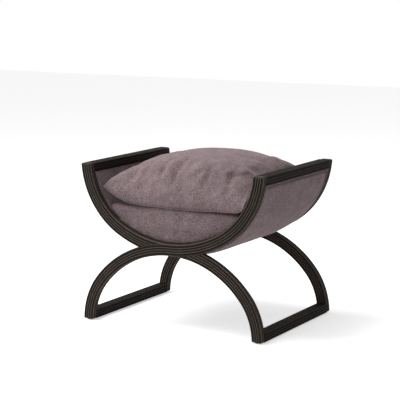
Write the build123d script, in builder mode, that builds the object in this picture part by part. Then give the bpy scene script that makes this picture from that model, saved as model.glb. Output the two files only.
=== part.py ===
from build123d import *
import os
from collections import namedtuple
from math import asin, cos, degrees, radians, sin, sqrt

os.makedirs("parts", exist_ok=True)

# Reeds: every face of the frame's wood is cut into beads of one pitch
reed_pitch = 7.8
reed_depth = 1.4
face_reeds = 5
edge_reeds = 3
rail_reeds = 4

# The frame over all: X is the width, Y the depth with the front at -Y, Z the height above the floor
frame_depth = 500.0
rim_height = 529.0
crown_height = 268.0
foot_half_span = 317.0
foot_arc_turn = 39.7
arm_half_span = 320.5
arm_arc_lift = 17.0
arm_arc_turn = 60.3
end_rounding = 5.0
end_margin = 0.3
halving_clearance = 0.1
feather_reach = 30.0
overrun = 10.0

# Glides under the feet
glide_height = 3.0
glide_radius = 9.0
glide_edge = 0.8
glide_nail_radius = 1.25
glide_nail_length = 12.0

# Dowels and screws
dowel_radius = 4.0
dowel_depth_in_leg = 15.0
dowel_depth_in_rail = 25.0
dowel_end_gap = 0.5
dowel_spacing = 18.0
joint_fit = 0.05
screw_radius = 1.9
screw_head_radius = 3.8
screw_head_height = 2.4
screw_tip = 4.0
screw_point_radius = 0.4
crown_screw_length = 18.0
crown_screw_spacing = 70.0
crown_screw_drop = 9.0
tub_screw_length = 20.0
tub_screw_spacing = 150.0

# The tub's layers, as distances outwards from the legs' centre line
plywood_outside = 5.0
plywood_thickness = 6.0
plywood_groove_depth = 8.0
plywood_groove_fit = 0.2
soft_gap = 0.3
wadding_thickness = 11.5
cover_thickness = 1.2
welt_radius = 2.3
pad_thickness = 15.0
inner_cover_thickness = 1.5
rail_setback = 2.0

# Stretchers between the front and the rear legs, and where their edges lie across the tub
stretcher_thickness = 18.4
centre_stretcher_half_width = 70.0
side_stretcher_inner = 150.0
side_stretcher_outer = 205.0
stretcher_dowel_half_spacing = 40.0
side_dowel_inner = 165.0
side_dowel_outer = 190.0

# The fixed seat, its heights counted up from the legs' crown
seat_rise = 137.0
seat_crowning = 6.0
seat_corner_radius = 22.0
seat_edge_radius = 14.0
seat_band_gap = 0.5
seat_cover_thickness = 1.5
seat_proud = 6.5
seat_lip = 5.0
board_thickness = 12.0
board_rise = 78.0
seat_rail_inner = 145.0
seat_rail_outer = 195.0
strap_width = 50.0
strap_thickness = 1.5
strap_gap = 0.1
long_straps = 4
cross_straps = 4
long_strap_pitch = 82.0
cross_strap_pitch = 95.0

# The loose pillow, its heights counted up from the seat's crown
pillow_rest_gap = 0.3
pillow_height = 170.0
pillow_corner_lift = 44.0
pillow_side_gap = 24.0
pillow_end_gap = 24.0
pillow_cover_thickness = 1.2
pillow_filling_gap = 0.6
pillow_filling_setback = 14.0

# Pillow sections from the middle outwards, as shares of half its length: half depth, lift of the
# seam, lift of the underside and height of the crown
pillow_shares = [
    (0.00, 0.965, 0.04, 0.00, 1.000),
    (0.43, 0.970, 0.07, 0.02, 0.925),
    (0.74, 0.980, 0.20, 0.10, 0.750),
    (0.93, 0.990, 0.55, 0.42, 0.520),
    (1.00, 1.000, 1.00, 0.92, 0.300),
]

# Sizes that follow from the reeds
leg_width = face_reeds * reed_pitch
leg_thickness = edge_reeds * reed_pitch
rail_width = face_reeds * reed_pitch
rail_height = rail_reeds * reed_pitch
corner_bead = reed_pitch + reed_depth - sqrt(2 * reed_pitch * reed_depth)
half_depth = frame_depth / 2
leg_inner_y = half_depth - leg_thickness
leg_middle_y = half_depth - leg_thickness / 2
clear_half_depth = leg_inner_y - soft_gap
rail_bottom = rim_height - rail_height


# Two arcs that meet smoothly make each quarter of the legs' curves
def quarter_radii(half_span, rise, turn):
    """Radii of the end arc, which turns by the angle, and of the arc that goes on to the crown."""
    c = cos(radians(turn))
    s = sin(radians(turn))
    both = 1 - s - c
    end_radius = (half_span * (1 - s) - rise * c) / both
    crown_radius = (rise * (1 - c) - half_span * s) / both
    return end_radius, crown_radius


foot_level = glide_height
foot_radius, arch_radius = quarter_radii(foot_half_span, crown_height - foot_level, foot_arc_turn)
arm_centre_z = rim_height + arm_arc_lift
arm_radius, tub_radius = quarter_radii(arm_half_span, arm_centre_z - crown_height, arm_arc_turn)
arm_centre_x = arm_half_span - arm_radius
tub_centre_z = crown_height + tub_radius

Arc = namedtuple("Arc", "x z radius start sweep")


def leg_arcs(lean):
    """Centre line from one foot over the crown to the opposite arm. lean 1 starts at the left foot."""
    arcs = [
        Arc(foot_radius - foot_half_span, foot_level, foot_radius, 180, -foot_arc_turn),
        Arc(0, crown_height - arch_radius, arch_radius, 180 - foot_arc_turn, foot_arc_turn - 90),
        Arc(0, tub_centre_z, tub_radius, -90, 90 - arm_arc_turn),
        Arc(arm_centre_x, arm_centre_z, arm_radius, -arm_arc_turn, arm_arc_turn),
    ]
    if lean > 0:
        return arcs
    return [Arc(-a.x, a.z, a.radius, 180 - a.start, -a.sweep) for a in arcs]


def section_plane(arc, y):
    """Plane across an arc's start, with its X axis away from the arc's centre and its Y axis along Y."""
    c = cos(radians(arc.start))
    s = sin(radians(arc.start))
    origin = (arc.x + arc.radius * c, y, arc.z + arc.radius * s)
    return Plane(origin=origin, x_dir=(c, 0, s), z_dir=(-s, 0, c))


def turn_along(arc):
    """Revolves the pending section along the arc."""
    direction = (0, -1, 0) if arc.sweep > 0 else (0, 1, 0)
    revolve(axis=Axis((arc.x, 0, arc.z), direction), revolution_arc=abs(arc.sweep))


def upright_plane(x=0, y=0, z=0):
    """Plane that faces the front, with its X axis along X and its Y axis up."""
    return Plane(origin=(x, y, z), x_dir=(1, 0, 0), z_dir=(0, -1, 0))


def reeded_section(across, up):
    """Section of reeded wood: beads of one pitch on each side, and a rounder one at each corner."""
    half_x = across * reed_pitch / 2
    half_y = up * reed_pitch / 2
    inset = corner_bead * (1 - 1 / sqrt(2))
    top = [(half_x - reed_pitch * (i + 1), half_y - reed_depth) for i in range(across - 1)]
    right = [(half_x - reed_depth, half_y - reed_pitch * (i + 1)) for i in range(up - 1)]
    with BuildSketch() as section:
        with BuildLine():
            for sign in (1, -1):
                for (u0, v0), (u1, v1) in zip(top, top[1:]):
                    crest = (sign * (u0 + u1) / 2, sign * half_y)
                    ThreePointArc((sign * u0, sign * v0), crest, (sign * u1, sign * v1))
                for (u0, v0), (u1, v1) in zip(right, right[1:]):
                    crest = (sign * half_x, sign * (v0 + v1) / 2)
                    ThreePointArc((sign * u0, sign * v0), crest, (sign * u1, sign * v1))
            for sx in (1, -1):
                for sy in (1, -1):
                    corner = (sx * (half_x - inset), sy * (half_y - inset))
                    along_top = (sx * top[0][0], sy * top[0][1])
                    along_side = (sx * right[0][0], sy * right[0][1])
                    ThreePointArc(along_top, corner, along_side)
        make_face()
    return section.sketch


leg_section = reeded_section(face_reeds, edge_reeds)
rail_section = reeded_section(face_reeds, rail_reeds)


# Curve of the tub: angle 0 is level with the arm's centre and 90 is the bottom, on the right side
def tub_point(offset, angle, side=1):
    c = cos(radians(angle))
    s = sin(radians(angle))
    if angle < arm_arc_turn:
        return (side * (arm_centre_x + (arm_radius + offset) * c), arm_centre_z - (arm_radius + offset) * s)
    return (side * (tub_radius + offset) * c, tub_centre_z - (tub_radius + offset) * s)


def tub_angle(offset, height):
    """Angle at which the tub's curve, moved out by the offset, reaches a height."""
    angle = degrees(asin((arm_centre_z - height) / (arm_radius + offset)))
    if angle < arm_arc_turn:
        return angle
    return degrees(asin((tub_centre_z - height) / (tub_radius + offset)))


def tub_angle_at(offset, x):
    """Angle at which the lower arc of the tub's curve reaches a distance from the middle."""
    return 90 - degrees(asin(x / (tub_radius + offset)))


def tub_line(offset, top):
    """Draws the tub's curve from the right top to the left top."""
    start = tub_angle(offset, top)
    middle = (start + arm_arc_turn) / 2
    for side in (1, -1):
        ThreePointArc(
            tub_point(offset, start, side), tub_point(offset, middle, side), tub_point(offset, arm_arc_turn, side)
        )
    ThreePointArc(
        tub_point(offset, arm_arc_turn), tub_point(offset, 90), tub_point(offset, arm_arc_turn, -1)
    )


def tub_band(inner, outer, top):
    """Face between two offsets of the tub's curve, open at the top."""
    with BuildSketch() as band:
        with BuildLine():
            tub_line(inner, top)
            tub_line(outer, top)
            for side in (1, -1):
                ends = [tub_point(offset, tub_angle(offset, top), side) for offset in (inner, outer)]
                Line(*ends)
        make_face()
    return band.sketch


def tub_fill(offset, top):
    """Face below a level top, inside an offset of the tub's curve."""
    start = tub_angle(offset, top)
    with BuildSketch() as fill:
        with BuildLine():
            tub_line(offset, top)
            Line(tub_point(offset, start), tub_point(offset, start, -1))
        make_face()
    return fill.sketch


def tub_arcs(offset, top):
    """The tub's curve as arcs to turn a section along, from the right top to the left top."""
    start = tub_angle(offset, top)
    upper = arm_radius + offset
    return [
        Arc(arm_centre_x, arm_centre_z, upper, -start, start - arm_arc_turn),
        Arc(0, tub_centre_z, tub_radius + offset, -arm_arc_turn, 2 * arm_arc_turn - 180),
        Arc(-arm_centre_x, arm_centre_z, upper, arm_arc_turn - 180, start - arm_arc_turn),
    ]


# Offsets of the tub's layers and places of the rails
plywood_inside = plywood_outside - plywood_thickness
stretcher_outside = plywood_inside - soft_gap
stretcher_inside = stretcher_outside - stretcher_thickness
wadding_inside = plywood_outside + soft_gap
wadding_outside = wadding_inside + wadding_thickness
outer_cover_inside = wadding_outside + soft_gap
outer_cover_outside = outer_cover_inside + cover_thickness
pad_outside = plywood_inside - soft_gap
pad_inside = pad_outside - pad_thickness
inner_cover_outside = pad_inside - soft_gap
inner_cover_inside = inner_cover_outside - inner_cover_thickness
seat_side = -leg_width / 2 - seat_band_gap
layer_top = rail_bottom - 2 * welt_radius - 2 * soft_gap
welt_level = rail_bottom - welt_radius - soft_gap
layer_half_depth = clear_half_depth - 2 * welt_radius - soft_gap
arm_rail_x = arm_centre_x + sqrt(
    (arm_radius + leg_width / 2) ** 2 - (arm_centre_z - rim_height) ** 2
) - rail_setback - rail_width / 2
arm_rail_z = rim_height - rail_height / 2
foot_rail_x = foot_half_span
foot_rail_z = foot_level + rail_height / 2
stretcher_dowel_offset = (stretcher_inside + stretcher_outside) / 2
side_screw_x = (side_dowel_inner + side_dowel_outer) / 2

# Dowel places across the frame, the same at the front and at the rear
rail_dowels_at = [
    (side * x + step * dowel_spacing / 2, z)
    for x, z in ((arm_rail_x, arm_rail_z), (foot_rail_x, foot_rail_z))
    for side in (1, -1)
    for step in (1, -1)
]
stretcher_dowels_at = [
    tub_point(stretcher_dowel_offset, tub_angle_at(stretcher_dowel_offset, x), side)
    for x in (stretcher_dowel_half_spacing, side_dowel_inner, side_dowel_outer)
    for side in (1, -1)
]


def dowels(places, fit):
    """Dowels, or with a fit their holes, across the joints at both ends of the rails."""
    gap = dowel_end_gap if fit == 0 else 0
    with BuildPart() as group:
        for face in (-1, 1):
            with BuildSketch(upright_plane(y=face * (leg_inner_y + dowel_depth_in_leg - gap))):
                with Locations(*places):
                    Circle(dowel_radius + fit)
            extrude(amount=face * (dowel_depth_in_leg + dowel_depth_in_rail - 2 * gap))
    return group.part


def screws(places, length, fit):
    """Countersunk screws, or with a fit their holes. A place is a head's middle, a side way and a way in."""
    outline = [
        (0, 0),
        (screw_head_radius + fit, 0),
        (screw_radius + fit, screw_head_height),
        (screw_radius + fit, length - screw_tip),
        (screw_point_radius, length),
        (0, length),
    ]
    with BuildPart() as group:
        for head, across, inwards in places:
            normal = Vector(*across).cross(Vector(*inwards))
            with BuildSketch(Plane(origin=head, x_dir=across, z_dir=normal)):
                with BuildLine():
                    Polyline(*outline, close=True)
                make_face()
            revolve(axis=Axis(head, inwards))
    return group.part


def tub_screws(fit):
    """Screws from outside the plywood into the three stretchers."""
    places = []
    for x in (-side_screw_x, 0, side_screw_x):
        angle = radians(tub_angle_at(plywood_outside, abs(x)))
        side = 1 if x >= 0 else -1
        px, pz = tub_point(plywood_outside, degrees(angle), side)
        for step in (-1, 0, 1):
            places.append(((px, step * tub_screw_spacing, pz), (0, 1, 0), (-side * cos(angle), 0, sin(angle))))
    return screws(places, tub_screw_length, fit)


def crown_screws(fit):
    """Screws from inside the frame through the halved joints at the crowns."""
    places = [
        ((side * crown_screw_spacing / 2, face * leg_inner_y, crown_height - crown_screw_drop), (1, 0, 0), (0, face, 0))
        for face in (-1, 1)
        for side in (-1, 1)
    ]
    return screws(places, crown_screw_length, fit)


def glide_nails(fit):
    """The glides' nails, or with a fit their holes."""
    with BuildPart() as nails:
        with BuildSketch(Plane.XY.offset(glide_height)):
            with GridLocations(2 * foot_half_span, 2 * leg_middle_y, 2, 2):
                Circle(glide_nail_radius + fit)
        extrude(amount=glide_nail_length)
    return nails.part


dowel_holes = dowels(rail_dowels_at + stretcher_dowels_at, joint_fit)
tub_screw_holes = tub_screws(joint_fit)
crown_screw_holes = crown_screws(joint_fit)
nail_holes = glide_nails(joint_fit)


# The four legs
def end_waste(x, face, level, up):
    """What comes off the end of a leg, so that its edges are rounded, but not where a rail meets it."""
    reach = leg_thickness + overrun
    middle_y = face * (half_depth + end_margin - reach / 2)
    with BuildPart() as rounded:
        with BuildSketch(Plane((x, middle_y, level))):
            Rectangle(leg_width + 2 * end_margin, reach)
        extrude(amount=-up * overrun)
        fillet(rounded.faces().sort_by(Axis.Z)[-1 if up > 0 else 0].edges(), radius=end_rounding)
    with BuildPart() as waste:
        with BuildSketch(Plane((x, middle_y, level + up * overrun / 2))):
            Rectangle(leg_width + 2 * overrun, reach + overrun)
        extrude(amount=-up * overrun)
        add(rounded.part, mode=Mode.SUBTRACT)
    return waste.part


def halving_room(lean, low_y, high_y):
    """Room for the other leg in a halved joint: its square-edged band, cut square where it would feather."""
    middle_y = (low_y + high_y) / 2
    with BuildPart() as room:
        for arc in leg_arcs(lean)[1:3]:
            with BuildSketch(section_plane(arc, middle_y)):
                Rectangle(leg_width + 2 * halving_clearance, high_y - low_y)
            turn_along(arc)
        with BuildSketch(Plane((0, middle_y, crown_height))):
            Rectangle(2 * feather_reach, high_y - low_y)
        extrude(amount=leg_width / 2 + overrun, both=True)
    return room.part


def s_leg(name, lean, face, keeps_outer_half):
    """One leg: foot, half of the arch, halved crown, half of the tub's curve and arm."""
    outwards = -face if keeps_outer_half else face
    low_y, high_y = sorted((face * leg_middle_y, face * leg_middle_y + outwards * leg_thickness))
    cuts = [
        halving_room(-lean, low_y, high_y),
        end_waste(-lean * foot_half_span, face, foot_level, -1),
        end_waste(lean * (arm_rail_x + rail_setback), face, rim_height, 1),
        dowel_holes,
        crown_screw_holes,
        nail_holes,
    ]
    with BuildPart() as leg:
        for arc in leg_arcs(lean):
            with BuildSketch(section_plane(arc, face * leg_middle_y)):
                add(leg_section)
            turn_along(arc)
        split(bisect_by=Plane.XY.offset(rim_height), keep=Keep.BOTTOM)
        for cut in cuts:
            add(cut, mode=Mode.SUBTRACT)
    leg.part.label = name
    export_step(leg.part, f"parts/{name}.step")


s_leg("front_left_s_leg", 1, -1, True)
s_leg("front_right_s_leg", -1, -1, False)
s_leg("rear_right_s_leg", -1, 1, True)
s_leg("rear_left_s_leg", 1, 1, False)

# Arm rails and foot rails
plywood_groove = tub_band(
    plywood_inside - plywood_groove_fit,
    plywood_outside + plywood_groove_fit,
    rail_bottom + plywood_groove_depth + plywood_groove_fit,
)
for side, side_name in ((-1, "left"), (1, "right")):
    with BuildPart() as arm_rail:
        with BuildSketch(upright_plane(side * arm_rail_x, 0, arm_rail_z)):
            add(rail_section)
        extrude(amount=leg_inner_y, both=True)
        with BuildSketch(upright_plane()):
            add(plywood_groove)
        extrude(amount=leg_inner_y, both=True, mode=Mode.SUBTRACT)
        add(dowel_holes, mode=Mode.SUBTRACT)
    arm_rail.part.label = f"{side_name}_arm_rail"
    export_step(arm_rail.part, f"parts/{side_name}_arm_rail.step")

    with BuildPart() as foot_rail:
        with BuildSketch(upright_plane(side * foot_rail_x, 0, foot_rail_z)):
            add(rail_section)
        extrude(amount=leg_inner_y, both=True)
        add(dowel_holes, mode=Mode.SUBTRACT)
    foot_rail.part.label = f"{side_name}_foot_rail"
    export_step(foot_rail.part, f"parts/{side_name}_foot_rail.step")

# Stretchers, each a strip of the tub's curve between the front and the rear legs
side_stretcher_middle = (side_stretcher_inner + side_stretcher_outer) / 2
side_stretcher_width = side_stretcher_outer - side_stretcher_inner
stretcher_band = tub_band(stretcher_inside, stretcher_outside, layer_top)
for name, middle, width in (
    ("centre_stretcher", 0, 2 * centre_stretcher_half_width),
    ("left_stretcher", -side_stretcher_middle, side_stretcher_width),
    ("right_stretcher", side_stretcher_middle, side_stretcher_width),
):
    with BuildPart() as stretcher:
        with BuildSketch(upright_plane()):
            add(stretcher_band)
            with Locations((middle, crown_height)):
                Rectangle(width, arm_half_span, mode=Mode.INTERSECT)
        extrude(amount=clear_half_depth, both=True)
        add(dowel_holes, mode=Mode.SUBTRACT)
        add(tub_screw_holes, mode=Mode.SUBTRACT)
    stretcher.part.label = name
    export_step(stretcher.part, f"parts/{name}.step")

# Fasteners, each kind in one file
for name, group in (
    ("rail_dowels", dowels(rail_dowels_at, 0)),
    ("stretcher_dowels", dowels(stretcher_dowels_at, 0)),
    ("crown_screws", crown_screws(0)),
    ("tub_screws", tub_screws(0)),
):
    group.label = name
    export_step(group, f"parts/{name}.step")

# Glides, a disc and its nail under each foot
glide_shanks = glide_nails(0)
with BuildPart() as foot_glides:
    with BuildSketch(Plane.XY):
        with GridLocations(2 * foot_half_span, 2 * leg_middle_y, 2, 2):
            Circle(glide_radius)
    extrude(amount=glide_height)
    chamfer(foot_glides.edges().group_by(Axis.Z)[0], length=glide_edge)
    add(glide_shanks)
foot_glides.part.label = "foot_glides"
export_step(foot_glides.part, "parts/foot_glides.step")

# The bent plywood tub, let into the arm rails
tub_sheet = tub_band(plywood_inside, plywood_outside, rail_bottom + plywood_groove_depth)
with BuildPart() as plywood_tub:
    with BuildSketch(upright_plane()):
        add(tub_sheet)
    extrude(amount=clear_half_depth, both=True)
    add(tub_screw_holes, mode=Mode.SUBTRACT)
plywood_tub.part.label = "plywood_tub"
export_step(plywood_tub.part, "parts/plywood_tub.step")


# Upholstery on the outside of the tub
def outside_layer(name, inner, outer):
    face = tub_band(inner, outer, layer_top)
    with BuildPart() as layer:
        with BuildSketch(upright_plane()):
            add(face)
        extrude(amount=layer_half_depth, both=True)
    layer.part.label = name
    export_step(layer.part, f"parts/{name}.step")


outside_layer("outer_wadding", wadding_inside, wadding_outside)
outside_layer("outer_cover", outer_cover_inside, outer_cover_outside)

outer_welt_offset = outer_cover_outside - welt_radius
for face, face_name in ((-1, "front"), (1, "rear")):
    with BuildPart() as edge_welt:
        for arc in tub_arcs(outer_welt_offset, layer_top):
            with BuildSketch(section_plane(arc, face * (clear_half_depth - welt_radius))):
                Circle(welt_radius)
            turn_along(arc)
    edge_welt.part.label = f"outer_{face_name}_welt"
    export_step(edge_welt.part, f"parts/outer_{face_name}_welt.step")


# Upholstery on the inside of each arm, and the welts under the arm rails
def straight_welt(name, offset, side):
    x, z = tub_point(offset, tub_angle(offset, welt_level), side)
    with BuildPart() as welt:
        with BuildSketch(upright_plane(x, 0, z)):
            Circle(welt_radius)
        extrude(amount=clear_half_depth, both=True)
    welt.part.label = name
    export_step(welt.part, f"parts/{name}.step")


def inside_layer(name, inner, outer, side):
    low_x = side_stretcher_outer + soft_gap
    face = tub_band(inner, outer, layer_top)
    with BuildPart() as layer:
        with BuildSketch(upright_plane()):
            add(face)
            with Locations((side * (low_x + arm_half_span / 2), rim_height / 2)):
                Rectangle(arm_half_span, 2 * rim_height, mode=Mode.INTERSECT)
        extrude(amount=clear_half_depth, both=True)
    layer.part.label = name
    export_step(layer.part, f"parts/{name}.step")


for side, side_name in ((-1, "left"), (1, "right")):
    straight_welt(f"{side_name}_outer_top_welt", outer_welt_offset, side)
    straight_welt(f"{side_name}_inner_top_welt", inner_cover_inside + welt_radius, side)
    inside_layer(f"{side_name}_inner_pad", pad_inside, pad_outside, side)
    inside_layer(f"{side_name}_inner_cover", inner_cover_inside, inner_cover_outside, side)

# The fixed seat
seat_crown = crown_height + seat_rise
seat_edge = seat_crown - seat_crowning
seat_half_depth = leg_inner_y + seat_proud
board_top = crown_height + board_rise
board_face_y = seat_half_depth - seat_cover_thickness - soft_gap - seat_lip - soft_gap
lining_edge_radius = seat_edge_radius - seat_cover_thickness
board_into_edge = board_face_y - (seat_half_depth - seat_edge_radius)
board_side_inset = lining_edge_radius - sqrt(lining_edge_radius**2 - board_into_edge**2)
board_side = seat_side - seat_cover_thickness - soft_gap - board_side_inset


def seat_form(inset):
    """The seat's block, drawn in by the inset: crowned on top, with its corners and edges rounded."""
    offset = seat_side - inset
    edge = seat_edge - inset
    start = tub_angle(offset, edge)
    with BuildPart() as form:
        with BuildSketch(upright_plane()) as outline:
            with BuildLine():
                tub_line(offset, edge)
                ThreePointArc(tub_point(offset, start), (0, seat_crown - inset), tub_point(offset, start, -1))
            make_face()
            fillet(outline.vertices().sort_by(Axis.Y)[-2:], radius=seat_corner_radius - inset)
        extrude(amount=seat_half_depth - inset, both=True)
        fillet(form.faces().filter_by(Axis.Y).edges(), radius=seat_edge_radius - inset)
    return form.part


seat_outside = seat_form(0)
seat_lining = seat_form(seat_cover_thickness)
with BuildPart() as seat_cover:
    add(seat_outside)
    add(seat_lining, mode=Mode.SUBTRACT)
seat_cover.part.label = "seat_cover"
export_step(seat_cover.part, "parts/seat_cover.step")

strap_top = board_top + 2 * strap_thickness + 2 * strap_gap
foam_outside = seat_form(seat_cover_thickness + soft_gap)
with BuildPart() as seat_foam:
    add(foam_outside)
    with BuildSketch(Plane.XY.offset(strap_top + strap_gap)):
        Rectangle(2 * arm_half_span, 2 * (board_face_y + soft_gap))
    extrude(amount=-strap_top, mode=Mode.SUBTRACT)
seat_foam.part.label = "seat_foam"
export_step(seat_foam.part, "parts/seat_foam.step")

board_outline = tub_fill(board_side, board_top)
for face, face_name in ((-1, "front"), (1, "rear")):
    with BuildPart() as seat_board:
        with BuildSketch(upright_plane(y=face * board_face_y)):
            add(board_outline)
        extrude(amount=face * board_thickness)
    seat_board.part.label = f"{face_name}_seat_board"
    export_step(seat_board.part, f"parts/{face_name}_seat_board.step")

for side, side_name in ((-1, "left"), (1, "right")):
    with BuildPart() as seat_rail:
        with BuildSketch(upright_plane()):
            add(board_outline)
            with Locations((side * (seat_rail_inner + seat_rail_outer) / 2, board_top)):
                Rectangle(seat_rail_outer - seat_rail_inner, board_rise, mode=Mode.INTERSECT)
        extrude(amount=board_face_y - board_thickness, both=True)
    seat_rail.part.label = f"{side_name}_seat_rail"
    export_step(seat_rail.part, f"parts/{side_name}_seat_rail.step")

with BuildPart() as seat_webbing:
    with BuildSketch(Plane.XY.offset(board_top + strap_gap)):
        with GridLocations(long_strap_pitch, 0, long_straps, 1):
            Rectangle(strap_width, 2 * board_face_y)
    extrude(amount=strap_thickness)
    with BuildSketch(Plane.XY.offset(board_top + strap_thickness + 2 * strap_gap)):
        with GridLocations(0, cross_strap_pitch, 1, cross_straps):
            Rectangle(2 * seat_rail_outer, strap_width)
    extrude(amount=strap_thickness)
seat_webbing.part.label = "seat_webbing"
export_step(seat_webbing.part, "parts/seat_webbing.step")

# The loose pillow: lens-shaped sections with a knife edge at the front and at the rear
pillow_base = seat_crown + pillow_rest_gap
pillow_corner_z = pillow_base + pillow_corner_lift
pillow_half_length = (
    tub_point(inner_cover_inside, tub_angle(inner_cover_inside, pillow_corner_z))[0] - pillow_side_gap
)
pillow_half_depth = half_depth - pillow_end_gap


def pillow_form(inset, seam_inset):
    """The pillow drawn in by an inset, and by another at its front and rear seams, lofted along its length."""
    rows = [row for row in reversed(pillow_shares)] + pillow_shares[1:]
    count = len(pillow_shares) - 1
    with BuildPart() as form:
        for i, (along, depth, seam, under, crown) in enumerate(rows):
            x = (1 if i > count else -1) * along * (pillow_half_length - inset)
            y = depth * pillow_half_depth - seam_inset
            low_z = pillow_base + under * pillow_corner_lift
            high_z = pillow_base + crown * pillow_height
            seam_share = (pillow_base + seam * pillow_corner_lift - low_z) / (high_z - low_z)
            low_z = low_z + inset
            high_z = high_z - inset
            seam_z = low_z + seam_share * (high_z - low_z)
            with BuildSketch(Plane(origin=(x, 0, 0), x_dir=(0, 1, 0), z_dir=(1, 0, 0))):
                with BuildLine():
                    ThreePointArc((-y, seam_z), (0, high_z), (y, seam_z))
                    ThreePointArc((-y, seam_z), (0, low_z), (y, seam_z))
                make_face()
        loft()
    return form.part


pillow_outside = pillow_form(0, 0)
pillow_lining = pillow_form(pillow_cover_thickness, pillow_cover_thickness)
with BuildPart() as pillow_cover:
    add(pillow_outside)
    add(pillow_lining, mode=Mode.SUBTRACT)
pillow_cover.part.label = "pillow_cover"
export_step(pillow_cover.part, "parts/pillow_cover.step")

pillow_filling = pillow_form(pillow_cover_thickness + pillow_filling_gap, pillow_filling_setback)
pillow_filling.label = "pillow_filling"
export_step(pillow_filling, "parts/pillow_filling.step")

for name, value in (
    ("foot radius", foot_radius),
    ("arch radius", arch_radius),
    ("tub radius", tub_radius),
    ("arm radius", arm_radius),
    ("corner bead", corner_bead),
    ("pillow half length", pillow_half_length),
    ("arm rail x", arm_rail_x),
):
    print(f"{name}: {value:.1f} mm")
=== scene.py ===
# %% [markdown]
# # An upholstered stool with crossed, reeded legs
#
# The real stool is a joiner's and an upholsterer's piece. Four S-shaped legs of dark, reeded wood cross
# in pairs, a bent plywood tub hangs between them, and grey mauve chenille covers the tub, the fixed seat
# and a loose pillow. The sizes were settled in the CAD model, so this lesson loads that model first and
# builds every visible piece around it, in the same place and in metres.

from math import asin, cos, degrees, pi, radians, sin, sqrt

import bmesh
import bpy
import numpy as np
from mathutils import Matrix, Vector, noise


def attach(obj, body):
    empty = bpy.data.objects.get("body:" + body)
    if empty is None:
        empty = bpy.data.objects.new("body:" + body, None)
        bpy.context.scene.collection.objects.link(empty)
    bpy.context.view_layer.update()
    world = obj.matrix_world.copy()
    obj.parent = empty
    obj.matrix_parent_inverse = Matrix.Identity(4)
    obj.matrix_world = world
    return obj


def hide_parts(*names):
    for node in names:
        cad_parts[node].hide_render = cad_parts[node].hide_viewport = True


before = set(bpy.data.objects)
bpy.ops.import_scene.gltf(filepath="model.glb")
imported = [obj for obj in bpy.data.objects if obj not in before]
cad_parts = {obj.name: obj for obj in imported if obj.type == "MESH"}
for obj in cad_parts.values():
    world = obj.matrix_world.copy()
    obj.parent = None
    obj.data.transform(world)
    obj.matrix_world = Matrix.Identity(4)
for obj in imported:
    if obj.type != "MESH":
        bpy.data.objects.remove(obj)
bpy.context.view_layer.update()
MM = 0.001

# %% [markdown]
# ## The camera
#
# A photograph fixes four things about its camera: where it stood, where it pointed, how it was turned and
# how long its lens was. They were fitted to the outlines of the legs. Here they become a matrix with
# three columns: right, up and backwards. Setting the matrix directly avoids guessing at rotation angles.

# %% Camera at the photographer's place
VIEW_TURN = radians(30.047)
VIEW_RISE = radians(9.244)
CAMERA_PLACE = Vector((2.3313, -4.0842, 1.1618))
LENS_MM = 128.5
SENSOR_MM = 36.0

backwards = Vector((sin(VIEW_TURN) * cos(VIEW_RISE), -cos(VIEW_TURN) * cos(VIEW_RISE), sin(VIEW_RISE)))
rightwards = Vector((cos(VIEW_TURN), sin(VIEW_TURN), 0))
upwards = backwards.cross(rightwards)
camera_data = bpy.data.cameras.new("camera")
camera_data.lens = LENS_MM
camera_data.sensor_width = SENSOR_MM
camera = bpy.data.objects.new("camera", camera_data)
turn = Matrix((rightwards, upwards, backwards)).transposed().to_4x4()
camera.matrix_world = Matrix.Translation(CAMERA_PLACE) @ turn
bpy.context.collection.objects.link(camera)
bpy.context.scene.camera = camera
print("camera", round(CAMERA_PLACE.length, 2), "m from the origin, lens", LENS_MM, "mm")

# %% [markdown]
# ## The curve that everything follows
#
# Each leg is one S: a tight arc at the foot, a wide arc up to the crown, a wide arc under the tub and a
# tight arc up the opposite arm. Two arcs that meet smoothly have their centres and their meeting point on
# one line, and that rule gives both radii from the span, the rise and the angle that the tight arc turns
# through. The tub, the covers and the seat follow the same upper curve, moved inwards or outwards.

# %% Arcs of the legs and of the tub
LEG_WIDTH = 39 * MM
LEG_THICKNESS = 23.4 * MM
RAIL_HEIGHT = 31.2 * MM
HALF_DEPTH = 250 * MM
FLOOR_GAP = 3 * MM
RIM_Z = 529 * MM
CROWN_Z = 268 * MM
FOOT_X = 317 * MM
ARM_X = 320.5 * MM
FOOT_TURN = 39.7
ARM_TURN = 60.3
ARM_CENTRE_Z = RIM_Z + 17 * MM
BOTTOM_ANGLE = 90.0
CURVE_SAMPLES = 400
LEG_Y = HALF_DEPTH - LEG_THICKNESS / 2
INNER_Y = HALF_DEPTH - LEG_THICKNESS


def quarter_radii(half_span, rise, turned):
    """Radii of the end arc and of the arc that goes on from it to the crown."""
    c, s = cos(radians(turned)), sin(radians(turned))
    both = 1 - s - c
    return (half_span * (1 - s) - rise * c) / both, (rise * (1 - c) - half_span * s) / both


FOOT_R, ARCH_R = quarter_radii(FOOT_X, CROWN_Z - FLOOR_GAP, FOOT_TURN)
ARM_R, TUB_R = quarter_radii(ARM_X, ARM_CENTRE_Z - CROWN_Z, ARM_TURN)
ARM_CENTRE_X = ARM_X - ARM_R
TUB_CENTRE_Z = CROWN_Z + TUB_R
print("radii in mm:", [round(r / MM, 1) for r in (FOOT_R, ARCH_R, TUB_R, ARM_R)])


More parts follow.
